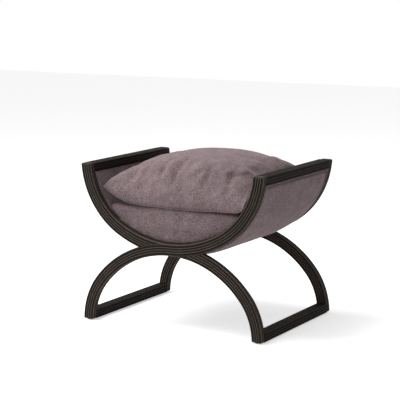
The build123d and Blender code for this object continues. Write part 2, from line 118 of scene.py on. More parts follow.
def leg_arcs(lean):
    """Centre x and z, radius, start and sweep of a leg's four arcs. lean 1 starts at the left foot."""
    arcs = [
        (FOOT_R - FOOT_X, FLOOR_GAP, FOOT_R, 180, -FOOT_TURN),
        (0, CROWN_Z - ARCH_R, ARCH_R, 180 - FOOT_TURN, FOOT_TURN - 90),
        (0, TUB_CENTRE_Z, TUB_R, -90, 90 - ARM_TURN),
        (ARM_CENTRE_X, ARM_CENTRE_Z, ARM_R, -ARM_TURN, ARM_TURN),
    ]
    if lean > 0:
        return arcs
    return [(-x, z, r, 180 - start, -sweep) for x, z, r, start, sweep in arcs]


def tub_point(offset, angle):
    """Point and outward direction on the right half of the tub's curve, moved out by the offset."""
    c, s = cos(radians(angle)), sin(radians(angle))
    if angle < ARM_TURN:
        return ARM_CENTRE_X + (ARM_R + offset) * c, ARM_CENTRE_Z - (ARM_R + offset) * s, c, -s
    return (TUB_R + offset) * c, TUB_CENTRE_Z - (TUB_R + offset) * s, c, -s


def tub_angle(offset, height):
    """Angle at which the tub's curve, moved out by the offset, reaches a height."""
    angle = degrees(asin((ARM_CENTRE_Z - height) / (ARM_R + offset)))
    if angle < ARM_TURN:
        return angle
    return degrees(asin((TUB_CENTRE_Z - height) / (TUB_R + offset)))


def walked_along(points):
    """Distance walked to each point of a chain, whose first two columns are its places."""
    return np.concatenate([[0], np.cumsum(np.hypot(*np.diff(points[:, :2], axis=0).T))])


def points_at(distances, points, walked):
    """Rows of a chain's table at the given distances along it."""
    return np.stack([np.interp(distances, walked, column) for column in points.T], 1)


def tub_run(offset, top, count, last_angle=BOTTOM_ANGLE, both_sides=True):
    """Evenly spaced points of the tub's curve with their outward directions: an array of x, z, nx, nz."""
    start = tub_angle(offset, top)
    fine = np.array([tub_point(offset, a) for a in np.linspace(start, last_angle, CURVE_SAMPLES)])
    if both_sides:
        mirrored = fine[::-1][1:] * (-1, 1, -1, 1)
        fine = np.vstack([fine, mirrored])
    walked = walked_along(fine)
    return points_at(np.linspace(0, walked[-1], count), fine, walked), walked[-1]


# %% [markdown]
# ## Small helpers for node trees
#
# A shader and a geometry tree are built the same way: add a node, set its properties, feed its inputs.
# One helper does that for both. An input takes a plain value or another node's output, so a tree reads
# from top to bottom.

# %% Helpers for node trees
def make_node(tree, kind, inputs=None, **settings):
    """Adds a node, sets its properties, and feeds its inputs with values or other nodes' outputs."""
    node = tree.nodes.new(kind)
    for key, value in settings.items():
        setattr(node, key, value)
    for key, value in (inputs or {}).items():
        socket = node.inputs[key]
        if isinstance(value, bpy.types.NodeSocket):
            tree.links.new(value, socket)
        else:
            socket.default_value = value
    return node


def maths(tree, operation, *values):
    """Output of a Math node."""
    return make_node(tree, "ShaderNodeMath", dict(enumerate(values)), operation=operation).outputs[0]


def noise_at(tree, vector, scale, detail=2.0, roughness=0.5):
    """Output of a Noise texture, between 0 and 1."""
    inputs = {"Vector": vector, "Scale": scale, "Detail": detail, "Roughness": roughness}
    return make_node(tree, "ShaderNodeTexNoise", inputs).outputs[0]


def colour_by(tree, shader, factor, stops):
    """Takes the shader's colour from a ramp through (position, colour) stops."""
    node = make_node(tree, "ShaderNodeValToRGB", {"Fac": factor})
    elements = node.color_ramp.elements
    while len(elements) < len(stops):
        elements.new(0.5)
    for element, (position, colour) in zip(elements, stops):
        element.position = position
        element.color = (*colour, 1)
    tree.links.new(node.outputs["Color"], shader.inputs["Base Color"])


def roughness_by(tree, shader, factor, low, high):
    """Spreads the shader's roughness between two values."""
    spread = make_node(tree, "ShaderNodeMapRange", {"Value": factor, "To Min": low, "To Max": high})
    tree.links.new(spread.outputs[0], shader.inputs["Roughness"])


BRIGHTEST = 255
TOE_SHARE = 0.04045
TOE_SLOPE = 12.92
CURVE_LIFT = 0.055
CURVE_POWER = 2.4


def linear(red, green, blue, gain=1.0):
    """Colour for a shader, from the 0 to 255 values that an image editor shows."""

    def one(value):
        share = value / BRIGHTEST
        if share <= TOE_SHARE:
            return gain * (share / TOE_SLOPE)
        return gain * ((share + CURVE_LIFT) / (1 + CURVE_LIFT)) ** CURVE_POWER

    return one(red), one(green), one(blue)


def new_material(name, **sockets):
    """Material with a Principled shader and its plain sockets set. Returns it, its tree and its shader."""
    material = bpy.data.materials.new(name)
    material.use_nodes = True
    tree = material.node_tree
    shader = tree.nodes["Principled BSDF"]
    for key, value in sockets.items():
        shader.inputs[key.replace("_", " ")].default_value = value
    return material, tree, shader


def object_place(tree):
    """Position on the object itself, which stays put when the stool moves."""
    return make_node(tree, "ShaderNodeTexCoord").outputs["Object"]


def bump(tree, shader, height, distance, strength=1.0):
    """Feeds a height into the shader's normal."""
    inputs = {"Height": height, "Distance": distance, "Strength": strength}
    node = make_node(tree, "ShaderNodeBump", inputs)
    tree.links.new(node.outputs["Normal"], shader.inputs["Normal"])


# %% [markdown]
# ## Chenille
#
# Chenille yarn is a fuzzy caterpillar of short pile. Woven up, it gives a matt cloth with a fine, pale
# and dark mottle: tufts a millimetre across, specks of a few millimetres, broad blotches where the pile
# lies the other way, and a soft sheen at grazing angles. Three noises at those three sizes drive the
# colour. The two finest drive the bump too, together with the cells of a Voronoi texture for the yarns.

# %% Chenille material
TUFTS_PER_METRE = 900
MOTTLE_PER_METRE = 400
BLOTCHES_PER_METRE = 26
YARNS_PER_METRE = 560
PILE_HEIGHT = 0.5 * MM
MIX_SHARES = {"tufts": 0.36, "mottle": 0.54, "blotches": 0.1}
COLOUR_SHARES = (0.38, 0.5, 0.62)
MATT = 0.95
SHEEN = 0.4
DUSTY_SHEEN = linear(226, 208, 211)
MOTTLE_RISE = 1.4
PILE_STRENGTH = 0.55


def chenille(name, dark, middle, light):
    material, tree, shader = new_material(name, Roughness=MATT, Specular_IOR_Level=0.12)
    shader.inputs["Sheen Weight"].default_value = SHEEN
    shader.inputs["Sheen Roughness"].default_value = SHEEN
    shader.inputs["Sheen Tint"].default_value = (*DUSTY_SHEEN, 1)
    place = object_place(tree)
    tufts = noise_at(tree, place, TUFTS_PER_METRE, 3, 0.6)
    mottle = noise_at(tree, place, MOTTLE_PER_METRE, 3, 0.7)
    blotches = noise_at(tree, place, BLOTCHES_PER_METRE, 3, 0.55)
    fine = maths(tree, "MULTIPLY", tufts, MIX_SHARES["tufts"])
    coarse = maths(tree, "MULTIPLY_ADD", mottle, MIX_SHARES["mottle"], fine)
    mixed = maths(tree, "MULTIPLY_ADD", blotches, MIX_SHARES["blotches"], coarse)
    colour_by(tree, shader, mixed, list(zip(COLOUR_SHARES, (dark, middle, light))))
    cells = make_node(tree, "ShaderNodeTexVoronoi", {"Vector": place, "Scale": YARNS_PER_METRE})
    between = maths(tree, "SUBTRACT", tufts, cells.outputs["Distance"])
    pile = maths(tree, "MULTIPLY_ADD", mottle, MOTTLE_RISE, between)
    bump(tree, shader, pile, PILE_HEIGHT, PILE_STRENGTH)
    return material


body_cloth = chenille("chenille_cover", linear(60, 48, 50), linear(108, 92, 95), linear(158, 142, 144))
welt_cloth = chenille("chenille_welt", linear(66, 54, 56), linear(112, 96, 99), linear(156, 140, 143))
print("chenille:", TUFTS_PER_METRE, "tufts and", MOTTLE_PER_METRE, "specks to the metre")

# %% [markdown]
# ## Webbing
#
# Elastic webbing carries the seat's foam. It is shut in between the foam and the tub, so a plain weave
# does: the cells of a Voronoi texture for the threads, and a slow noise so that no two spots have quite
# the same grey.

# %% Webbing material
THREADS_PER_METRE = 700
THREADS_PER_CLOUD = 12
THREAD_HEIGHT = 0.6 * MM


def woven(name, dark, light):
    material, tree, shader = new_material(name, Roughness=MATT, Specular_IOR_Level=0.15)
    place = object_place(tree)
    cells = make_node(tree, "ShaderNodeTexVoronoi", {"Vector": place, "Scale": THREADS_PER_METRE})
    weave = cells.outputs["Distance"]
    cloudy = noise_at(tree, place, THREADS_PER_METRE / THREADS_PER_CLOUD, 3)
    mixed = maths(tree, "MULTIPLY_ADD", weave, 0.4, cloudy)
    colour_by(tree, shader, mixed, [(0.35, dark), (0.85, light)])
    bump(tree, shader, weave, THREAD_HEIGHT, 0.5)
    return material


webbing_cloth = woven("elastic_webbing", linear(40, 38, 37), linear(84, 81, 78))
print("webbing:", THREADS_PER_METRE, "threads to the metre")

# %% [markdown]
# ## Reeded wood
#
# Reeds are half-round beads planed side by side. Stain pools in the grooves between them and wears off their
# crests, and the grain runs along the reed, round every bend. On top of that real stain and wear, the colour
# also paints shade into the grooves and a highlight onto the crests. So the pattern can't sit in straight
# object coordinates: the sweep that makes each leg also stores a map, whose first number is the distance
# along the leg and whose second counts beads. A sine of the second tells crest from groove.

# %% Reeded wood material
GRAIN_STRETCH = 26
GRAIN_SCALE = 5.5
PATCHES_PER_METRE = 34
CREST_SHARPNESS = 3.0
RUBBED_AND_LIT_BY = {"patches": 0.4, "grain": 0.4, "everywhere": 0.45}
STAIN_AND_SHADE_BY = {"wear": 0.55, "grain": 0.24}
GRAIN_HEIGHT = 0.25 * MM
ROUGHNESS_OF_WOOD = (0.5, 0.75)
# Groove to crest: stain tones, with painted shade at the dark end and a painted highlight at the light end.
STAIN_SHADE_AND_HIGHLIGHT_STOPS = [
    (0.12, (15, 12, 10)),
    (0.32, (31, 25, 21)),
    (0.50, (58, 50, 44)),
    (0.64, (90, 80, 71)),
    (0.82, (118, 107, 96)),
]


def reeded_wood(name, brightness, specular):
    material, tree, shader = new_material(name, Specular_IOR_Level=specular)
    mapped = make_node(tree, "ShaderNodeUVMap", uv_map="ReedMap").outputs["UV"]
    split = make_node(tree, "ShaderNodeSeparateXYZ", {"Vector": mapped})
    along, bead = split.outputs["X"], split.outputs["Y"]
    crest = maths(tree, "ABSOLUTE", maths(tree, "SINE", maths(tree, "MULTIPLY", bead, pi)))
    drawn_out = maths(tree, "MULTIPLY", along, GRAIN_STRETCH)
    stretched = make_node(tree, "ShaderNodeCombineXYZ", {"X": drawn_out, "Y": bead})
    grain = noise_at(tree, stretched.outputs[0], GRAIN_SCALE, 5, 0.62)
    patches = noise_at(tree, object_place(tree), PATCHES_PER_METRE, 3, 0.6)
    # Crests lighter and grooves darker: real wear and stain, plus a painted highlight and painted shade.
    evenly = maths(tree, "MULTIPLY_ADD", grain, RUBBED_AND_LIT_BY["grain"], RUBBED_AND_LIT_BY["everywhere"])
    rubbing_and_highlight = maths(tree, "MULTIPLY_ADD", patches, RUBBED_AND_LIT_BY["patches"], evenly)
    worn_and_lit_crests = maths(tree, "MULTIPLY", maths(tree, "POWER", crest, CREST_SHARPNESS), rubbing_and_highlight)
    streaks = maths(tree, "MULTIPLY", grain, STAIN_AND_SHADE_BY["grain"])
    stain_and_shade = maths(tree, "MULTIPLY_ADD", worn_and_lit_crests, STAIN_AND_SHADE_BY["wear"], streaks)
    stops = [(share, linear(*colour, brightness)) for share, colour in STAIN_SHADE_AND_HIGHLIGHT_STOPS]
    colour_by(tree, shader, stain_and_shade, stops)
    roughness_by(tree, shader, grain, *ROUGHNESS_OF_WOOD)
    bump(tree, shader, grain, GRAIN_HEIGHT, 0.4)
    return material


leg_wood = reeded_wood("reeded_wood", brightness=1.12, specular=0.1)
# The rails get a darker copy of the same wood: painted shade over their tops and sides.
rail_wood_painted_shade = reeded_wood("reeded_wood_dark", brightness=0.5, specular=0.04)
print("stain runs through", len(STAIN_SHADE_AND_HIGHLIGHT_STOPS), "tones")

# %% [markdown]
# ## Bare wood
#
# The stretchers, the plywood and the dowels were never stained. Their grain is one noise, squeezed across
# the grain and left long beside it by a Mapping node, so a dowel and a stretcher need only different
# scales.

# %% Bare wood material
BARE_GRAIN_SCALE = 8
BARE_GRAIN_HEIGHT = 0.2 * MM


def bare_wood(name, dark, light, axis_scales):
    """Unfinished timber for hidden parts, with its grain drawn out along one axis."""
    material, tree, shader = new_material(name, Roughness=0.7)
    turned = make_node(tree, "ShaderNodeMapping", {"Vector": object_place(tree), "Scale": axis_scales})
    grain = noise_at(tree, turned.outputs[0], BARE_GRAIN_SCALE, 6, 0.6)
    colour_by(tree, shader, grain, [(0.3, dark), (0.7, light)])
    bump(tree, shader, grain, BARE_GRAIN_HEIGHT, 0.4)
    return material


plain_wood = bare_wood("plain_wood", linear(160, 128, 92), linear(208, 178, 138), (20, 1.5, 20))
plywood = bare_wood("plywood", linear(178, 148, 106), linear(222, 198, 158), (3, 14, 90))
dowel_wood = bare_wood("dowel_wood", linear(186, 158, 118), linear(226, 204, 168), (40, 3, 40))
print("materials so far:", len(bpy.data.materials))

# %% [markdown]
# ## Steel
#
# Screws and glides are plated steel. Metal takes its colour from the base colour, and real metal is never
# evenly bright. One fine noise drives both the base colour and the roughness, so that rubbed spots are
# paler and less shiny.

# %% Steel material
RUBS_PER_METRE = 420
RUBBED_SHARE = 0.7
ROUGHNESS_SPREAD = 0.2


def fastener_steel(name, colour, roughness):
    material, tree, shader = new_material(name, Metallic=1.0)
    rubbed = noise_at(tree, object_place(tree), RUBS_PER_METRE, 4, 0.6)
    darker = tuple(RUBBED_SHARE * part for part in colour)
    colour_by(tree, shader, rubbed, [(0.3, darker), (0.7, colour)])
    roughness_by(tree, shader, rubbed, roughness, roughness + ROUGHNESS_SPREAD)
    return material


screw_steel = fastener_steel("screw_steel", linear(196, 190, 170), 0.35)
glide_steel = fastener_steel("glide_steel", linear(176, 176, 174), 0.3)
print("steels:", screw_steel.name, glide_steel.name)

# %% [markdown]
# ## A tree that sweeps a reeded section
#
# The legs and rails are the stool's main piece, and their shape follows one rule: a section of beads
# swept along a path. Geometry Nodes state that rule once. The tree turns the path's edges into a curve,
# fixes its normal to one direction so that the section never twists, sweeps the section, and stores the
# reed map on the face corners. The section is an open outline whose ends meet, so the bead count doesn't
# jump back to zero inside a face; merging by distance then closes it.

# %% Geometry tree for reeded members
def new_tree(name, sockets):
    """Empty geometry tree with named inputs. Returns the tree and its input node."""
    tree = bpy.data.node_groups.new(name, "GeometryNodeTree")
    tree.is_modifier = True
    tree.interface.new_socket("Geometry", in_out="INPUT", socket_type="NodeSocketGeometry")
    tree.interface.new_socket("Geometry", in_out="OUTPUT", socket_type="NodeSocketGeometry")
    for label, kind in sockets:
        tree.interface.new_socket(label, in_out="INPUT", socket_type=kind)
    return tree, make_node(tree, "NodeGroupInput")


def end_tree(tree, geometry, material):
    """Ends a tree: instances become real faces and take the material."""
    real = make_node(tree, "GeometryNodeRealizeInstances", {"Geometry": geometry})
    finished = make_node(tree, "GeometryNodeSetMaterial", {"Geometry": real.outputs[0], "Material": material})
    make_node(tree, "NodeGroupOutput", {"Geometry": finished.outputs[0]})


def reeding_tree():
    tree, given = new_tree(
        "reeding",
        [
            ("Section", "NodeSocketObject"),
            ("Section normal", "NodeSocketVector"),
            ("Merge distance", "NodeSocketFloat"),
            ("Material", "NodeSocketMaterial"),
        ],
    )
    path = make_node(tree, "GeometryNodeMeshToCurve", {"Mesh": given.outputs["Geometry"]})
    steady = make_node(
        tree,
        "GeometryNodeSetCurveNormal",
        {"Curve": path.outputs[0], "Normal": given.outputs["Section normal"]},
        mode="FREE",
    )
    walked = make_node(
        tree,
        "GeometryNodeStoreNamedAttribute",
        {
            "Geometry": steady.outputs[0],
            "Name": "along",
            "Value": make_node(tree, "GeometryNodeSplineParameter").outputs["Length"],
        },
    )
    section = make_node(tree, "GeometryNodeObjectInfo", {"Object": given.outputs["Section"]})
    outline = make_node(tree, "GeometryNodeMeshToCurve", {"Mesh": section.outputs["Geometry"]})
    swept = make_node(
        tree, "GeometryNodeCurveToMesh", {"Curve": walked.outputs[0], "Profile Curve": outline.outputs[0]}
    )
    along = make_node(tree, "GeometryNodeInputNamedAttribute", {"Name": "along"}).outputs["Attribute"]
    bead = make_node(tree, "GeometryNodeInputNamedAttribute", {"Name": "bead"}).outputs["Attribute"]
    pair = make_node(tree, "ShaderNodeCombineXYZ", {"X": along, "Y": bead})
    mapped = make_node(
        tree,
        "GeometryNodeStoreNamedAttribute",
        {"Geometry": swept.outputs[0], "Name": "ReedMap"},
        data_type="FLOAT2",
        domain="CORNER",
    )
    tree.links.new(pair.outputs[0], mapped.inputs["Value"])
    closed = make_node(
        tree,
        "GeometryNodeMergeByDistance",
        {"Geometry": mapped.outputs[0], "Distance": given.outputs["Merge distance"]},
    )
    end_tree(tree, closed.outputs[0], given.outputs["Material"])
    return tree


reeding = reeding_tree()
print("reeding tree with", len(reeding.nodes), "nodes")

# %% [markdown]
# ## Small helpers for meshes
#
# Every piece starts as a list of points and faces, gets its modifiers, and is then settled: the evaluated
# object is turned into a plain mesh and the modifiers are dropped. Reading and writing all of a mesh's
# points as one array is much quicker than going through them one by one.

# %% Helpers that make and settle meshes
def mesh_object(name, points, faces=(), edges=()):
    """New object at the origin, with its place in its mesh."""
    mesh = bpy.data.meshes.new(name)
    places = [tuple(float(c) for c in p) for p in points]
    mesh.from_pydata(places, list(edges), [tuple(map(int, f)) for f in faces])
    mesh.update()
    obj = bpy.data.objects.new(name, mesh)
    bpy.context.collection.objects.link(obj)
    return obj


def path_object(name, points, closed=False):
    """Object that holds a path as a chain of edges."""
    count = len(points)
    last = count if closed else count - 1
    return mesh_object(name, points, edges=[(i, (i + 1) % count) for i in range(last)])


def settle(obj):
    """Turns the evaluated object into a plain mesh and removes its modifiers."""
    evaluated = obj.evaluated_get(bpy.context.evaluated_depsgraph_get())
    mesh = bpy.data.meshes.new_from_object(evaluated)
    mesh.name = obj.name
    obj.modifiers.clear()
    obj.data = mesh


def apply_tree(obj, tree, **values):
    """Adds a tree as a modifier and sets its inputs by their identifiers."""
    modifier = obj.modifiers.new(tree.name, "NODES")
    modifier.node_group = tree
    for item in tree.interface.items_tree:
        key = item.name.replace(" ", "_").lower()
        if item.in_out == "INPUT" and key in values:
            modifier[item.identifier] = values[key]
    settle(obj)


def remove(obj):
    bpy.data.objects.remove(obj)


# %% Helpers that change meshes
def edit(obj, change):
    """Runs a function on the object's mesh as a bmesh."""
    bm = bmesh.new()
    bm.from_mesh(obj.data)
    change(bm)
    bm.to_mesh(obj.data)
    bm.free()
    obj.data.update()


def point_outwards(bm):
    bmesh.ops.recalc_face_normals(bm, faces=bm.faces)


def close_and_point_outwards(bm):
    bmesh.ops.holes_fill(bm, edges=[e for e in bm.edges if e.is_boundary], sides=0)
    point_outwards(bm)


def soften(obj, sharp_degrees):
    """Smooth shading that keeps the grooves and corners crisp."""
    obj.data.shade_smooth()
    obj.data.set_sharp_from_angle(angle=radians(sharp_degrees))


def coordinates(obj):
    flat = np.empty(3 * len(obj.data.vertices))
    obj.data.vertices.foreach_get("co", flat)
    return flat.reshape(-1, 3)


def set_coordinates(obj, points):
    obj.data.vertices.foreach_set("co", np.asarray(points, dtype=float).ravel())
    obj.data.update()


def print_box(obj):
    points = coordinates(obj)
    print(obj.name, "from", np.round(points.min(0), 4), "to", np.round(points.max(0), 4))


# %% [markdown]
# ## The section of beads
#
# Every bead is an arc through two grooves and a crest. The corner beads are rounder, because one bead
# takes both faces. Walking round the outline and counting beads gives the second number of the reed map.

# %% Sections of the legs and rails
REED_PITCH = 7.8 * MM
REED_DEPTH = 1.4 * MM
BEAD_STEPS = 6
LEG_BEADS = (3, 5)
RAIL_BEADS = (4, 5)


def arc_through(start, crest, end, steps):
    """Points from start towards end on the circle through all three, without the last one."""
    (ax, ay), (bx, by), (cx, cy) = start, crest, end
    d = 2 * (ax * (by - cy) + bx * (cy - ay) + cx * (ay - by))
    a2, b2, c2 = ax * ax + ay * ay, bx * bx + by * by, cx * cx + cy * cy
    ux = (a2 * (by - cy) + b2 * (cy - ay) + c2 * (ay - by)) / d
    uy = (a2 * (cx - bx) + b2 * (ax - cx) + c2 * (bx - ax)) / d
    angles = np.unwrap([np.arctan2(y - uy, x - ux) for x, y in (start, crest, end)])
    radius = np.hypot(ax - ux, ay - uy)
    spread = np.linspace(angles[0], angles[2], steps, endpoint=False)
    return [(ux + radius * np.cos(t), uy + radius * np.sin(t)) for t in spread]


def reeded_section(name, across, up):
    """Outline of beads as an open chain whose ends meet, with the bead count on its points."""
    half_x, half_y = across * REED_PITCH / 2, up * REED_PITCH / 2
    round_in = (REED_PITCH + REED_DEPTH - sqrt(2 * REED_PITCH * REED_DEPTH)) * (1 - 1 / sqrt(2))
    top = [(half_x - REED_PITCH * (i + 1), half_y - REED_DEPTH) for i in range(across - 1)]
    right = [(half_x - REED_DEPTH, half_y - REED_PITCH * (i + 1)) for i in range(up - 1)]
    quarter = []
    for start, end in zip(top[::-1], top[::-1][1:]):
        quarter.append((start, ((start[0] + end[0]) / 2, half_y), end))
    quarter.append((top[0], (half_x - round_in, half_y - round_in), right[0]))
    for start, end in zip(right, right[1:]):
        quarter.append((start, (half_x, (start[1] + end[1]) / 2), end))
    low_right = (right[-1], (half_x - round_in, -half_y + round_in), (top[0][0], -top[0][1]))
    half = quarter + [low_right]
    beads = half + [tuple((-x, -y) for x, y in bead) for bead in half]
    points, counts = [], []
    for index, (start, crest, end) in enumerate(beads):
        for step, point in enumerate(arc_through(start, crest, end, BEAD_STEPS)):
            points.append((*point, 0))
            counts.append(index + step / BEAD_STEPS)
    points.append((*beads[-1][2], 0))
    counts.append(len(beads))
    obj = path_object(name, points)
    stored = obj.data.attributes.new("bead", "FLOAT", "POINT")
    stored.data.foreach_set("value", counts)
    return obj


leg_section = reeded_section("leg_section", *LEG_BEADS)
rail_section = reeded_section("rail_section", *RAIL_BEADS)
print("beads round a leg:", 2 * sum(LEG_BEADS) - 4, " round a rail:", 2 * sum(RAIL_BEADS) - 4)

# %% [markdown]
# ## The four legs
#
# At each crown two legs cross in a halved joint: on the outside one leg's reeds run through unbroken and
# the other's stop against them, and on the inside it is the other way round. A joiner saws half the
# thickness out of each. A Boolean modifier does the same with the other leg's square-edged band. The
# arm's end is then cut level with the rim, and both ends are rounded over: extra cuts close to the end
# give rows of points, and each row is held inside a slightly smaller outline.

# %% Paths and cutters of the legs
PATH_STEP = 4 * MM
JOINT_GAP = 0.1 * MM
FEATHER = 12 * MM
SPARE = 10 * MM
END_ROUNDING = 8.5 * MM
ROUND_SHARES = (0.07, 0.2, 0.42, 0.7, 1.0)
BAND_STEPS = 60
LEG_CREASE = 42


def leg_path(lean, spare):
    """Points of a leg's centre line in its plane, carried on past the rim."""
    points = []
    for index, (x, z, r, start, sweep) in enumerate(leg_arcs(lean)):
        if index == 3:
            above = degrees(asin((ARM_CENTRE_Z - RIM_Z - spare) / r))
            sweep = (abs(sweep) - above) * (1 if sweep > 0 else -1)
        steps = max(2, int(abs(radians(sweep)) * r / PATH_STEP))
        angles = np.radians(np.linspace(start, start + sweep, steps + 1))
        ring = np.stack([x + r * np.cos(angles), z + r * np.sin(angles)], 1)
        points.append(ring if index == 0 else ring[1:])
    return np.vstack(points)


def ring_faces(rings, count):
    """Faces between rings of points that follow each other, and one face at each end."""
    faces = []
    for i in range(rings - 1):
        for k in range(count):
            a, b = i * count + k, i * count + (k + 1) % count
            faces.append((a, b, b + count, a + count))
    faces.append(tuple(range(count))[::-1])
    faces.append(tuple((rings - 1) * count + k for k in range(count)))
    return faces


def crown_band(lean, low_y, high_y):
    """Square-edged band of a leg over the crown: what the other leg loses in the halved joint."""
    rows = []
    for index, (x, z, r, start, sweep) in enumerate(leg_arcs(lean)[1:3]):
        half = LEG_WIDTH / 2 + JOINT_GAP
        out = half if index == 0 else -half
        for angle in np.radians(np.linspace(start, start + sweep, BAND_STEPS))[index:]:
            c, s = cos(angle), sin(angle)
            corners = [(r - out, low_y), (r + out, low_y), (r + out, high_y), (r - out, high_y)]
            rows.append([(x + radius * c, y, z + radius * s) for radius, y in corners])
    points = [p for row in rows for p in row]
    band = mesh_object("crown_band", points, ring_faces(len(rows), 4))
    edit(band, point_outwards)
    return band


def crown_block(low_y, high_y):
    """Square block at the crown, where a leg would otherwise feather out to nothing."""
    half_z = LEG_WIDTH / 2 + SPARE
    low_z, high_z = CROWN_Z - half_z, CROWN_Z + half_z
    points = [(x, y, z) for x in (-FEATHER, FEATHER) for y in (low_y, high_y) for z in (low_z, high_z)]
    faces = [(0, 1, 3, 2), (4, 6, 7, 5), (0, 4, 5, 1), (2, 3, 7, 6), (0, 2, 6, 4), (1, 5, 7, 3)]
    block = mesh_object("crown_block", points, faces)
    edit(block, point_outwards)
    return block


def subtract(obj, cutters):
    """Takes cutters away from an object with Boolean modifiers."""
    for cutter in cutters:
        modifier = obj.modifiers.new("halving", "BOOLEAN")
        modifier.operation = "DIFFERENCE"
        modifier.solver = "EXACT"
        modifier.object = cutter
    settle(obj)
    for cutter in cutters:
        remove(cutter)


def cut_level(bm, z, clear_above=False):
    bmesh.ops.bisect_plane(
        bm,
        geom=bm.verts[:] + bm.edges[:] + bm.faces[:],
        plane_co=(0, 0, z),
        plane_no=(0, 0, 1),
        clear_outer=clear_above,
    )


# %% Sweep, halve and round the legs
def round_end(obj, level, up, middle_x):
    """Rounds the end of a leg on its sides and its outer face, but not where a rail meets it."""

    def cut_rows(bm):
        for share in ROUND_SHARES:
            cut_level(bm, level - up * share * END_ROUNDING)

    edit(obj, cut_rows)
    points = coordinates(obj)
    near = np.abs(points[:, 2] - level) < END_ROUNDING
    left = END_ROUNDING - np.abs(points[near, 2] - level)
    inset = END_ROUNDING - np.sqrt(END_ROUNDING**2 - left**2)
    half = LEG_WIDTH / 2 - inset
    points[near, 0] = np.clip(points[near, 0], middle_x - half, middle_x + half)
    outer = HALF_DEPTH - inset
    points[near, 1] = np.clip(points[near, 1], -outer, outer)
    set_coordinates(obj, points)


def reed(obj, section, normal, material):
    """Sweeps a reeded section along an object's path and closes its ends."""
    apply_tree(
        obj, reeding, section=section, section_normal=normal, merge_distance=JOINT_GAP / 4, material=material
    )
    edit(obj, close_and_point_outwards)


def s_leg(name, lean, face, keeps_outer_half):
    """Makes one leg. face is -1 at the front and 1 at the rear."""
    obj = path_object(name, [(x, face * LEG_Y, z) for x, z in leg_path(lean, SPARE / 2)])
    reed(obj, leg_section, (0, 1, 0), leg_wood)
    outwards = -face if keeps_outer_half else face
    low_y, high_y = sorted((face * LEG_Y, face * LEG_Y + outwards * LEG_THICKNESS))
    subtract(obj, [crown_band(-lean, low_y, high_y), crown_block(low_y, high_y)])
    edit(obj, lambda bm: cut_level(bm, RIM_Z, clear_above=True))
    edit(obj, close_and_point_outwards)
    rim_x = ARM_CENTRE_X + sqrt(ARM_R**2 - (ARM_CENTRE_Z - RIM_Z) ** 2)
    round_end(obj, FLOOR_GAP, -1, -lean * FOOT_X)
    round_end(obj, RIM_Z, 1, lean * rim_x)
    soften(obj, LEG_CREASE)
    return obj


legs = [
    s_leg("front_left_leg", 1, -1, True),
    s_leg("front_right_leg", -1, -1, False),
    s_leg("rear_right_leg", -1, 1, True),
    s_leg("rear_left_leg", 1, 1, False),
]
for leg in legs:
    print_box(leg)

# %% [markdown]
# ## The rails
#
# Two arm rails and two foot rails run straight from leg to leg, from the same tree with a section four
# beads high.

# %% Sweep the rails
RAIL_SETBACK = 2 * MM
RAIL_STEPS = 24
arm_outer_x = ARM_CENTRE_X + sqrt((ARM_R + LEG_WIDTH / 2) ** 2 - (ARM_CENTRE_Z - RIM_Z) ** 2)
rail_places = {
    "arm_rail": (arm_outer_x - RAIL_SETBACK - LEG_WIDTH / 2, RIM_Z - RAIL_HEIGHT / 2),
    "foot_rail": (FOOT_X, FLOOR_GAP + RAIL_HEIGHT / 2),
}
rails = []
for side, side_name in ((-1, "left"), (1, "right")):
    for kind, (x, z) in rail_places.items():
        steps = np.linspace(-INNER_Y, INNER_Y, RAIL_STEPS)
        rail = path_object(f"{side_name}_{kind}_reeded", [(side * x, y, z) for y in steps])
        reed(rail, rail_section, (0, 0, 1), rail_wood_painted_shade)
        soften(rail, LEG_CREASE)
        rails.append(rail)
        print_box(rail)

# %% [markdown]
# ## The outer cover
#
# Under the seat the cloth is pulled over wadding and a bent plywood sheet, from one arm rail round to the
# other. Pulled cloth has no folds, but it isn't dead flat either: the wadding lifts it a little away from
# its edges, and it turns down sharply into the welts. Two grids of points, one for each side of the cloth
# and wadding, are bent round the tub's curve and closed along their edges.

# %% A closed layer round the tub
RAIL_BOTTOM = RIM_Z - RAIL_HEIGHT
WELT_R = 2.3 * MM
SOFT_GAP = 0.3 * MM
LAYER_TOP = RAIL_BOTTOM - 2 * WELT_R - 2 * SOFT_GAP
LAYER_Y = INNER_Y - SOFT_GAP - 2 * WELT_R - SOFT_GAP
SMOOTH_BEND = 60


def curved_layer(name, run, ys, near, far, material):
    """Closed layer between two offsets of the tub's curve. near and far are arrays, run by depth."""
    rows, columns = len(run), len(ys)
    points = []
    for offsets in (near, far):
        for i, (x, z, nx, nz) in enumerate(run):
            for j, y in enumerate(ys):
                points.append((x + nx * offsets[i, j], y, z + nz * offsets[i, j]))
    faces, other = [], rows * columns
    for i in range(rows - 1):
        for j in range(columns - 1):
            a, b = i * columns + j, (i + 1) * columns + j
            faces.append((a, b, b + 1, a + 1))
            faces.append((a + other, a + other + 1, b + other + 1, b + other))
    rim = list(range(columns)) + [i * columns + columns - 1 for i in range(1, rows)]
    rim += [(rows - 1) * columns + j for j in range(columns - 2, -1, -1)]
    rim += [i * columns for i in range(rows - 2, 0, -1)]
    for a, b in zip(rim, rim[1:] + rim[:1]):
        faces.append((a, a + other, b + other, b))
    obj = mesh_object(name, points, faces)
    edit(obj, point_outwards)
    obj.data.materials.append(material)
    soften(obj, SMOOTH_BEND)
    return obj


print("layers end", round(LAYER_TOP / MM, 1), "mm up and", round(LAYER_Y / MM, 1), "mm from the middle")

# %% How pulled cloth swells, sinks and wavers
def edge_distance(count_a, length_a, count_b, length_b):
    """Distance of every grid point from the nearest edge of its rectangle."""
    a = np.linspace(0, length_a, count_a)[:, None]
    b = np.linspace(0, length_b, count_b)[None, :]
    return np.minimum(np.minimum(a, length_a - a), np.minimum(b, length_b - b))


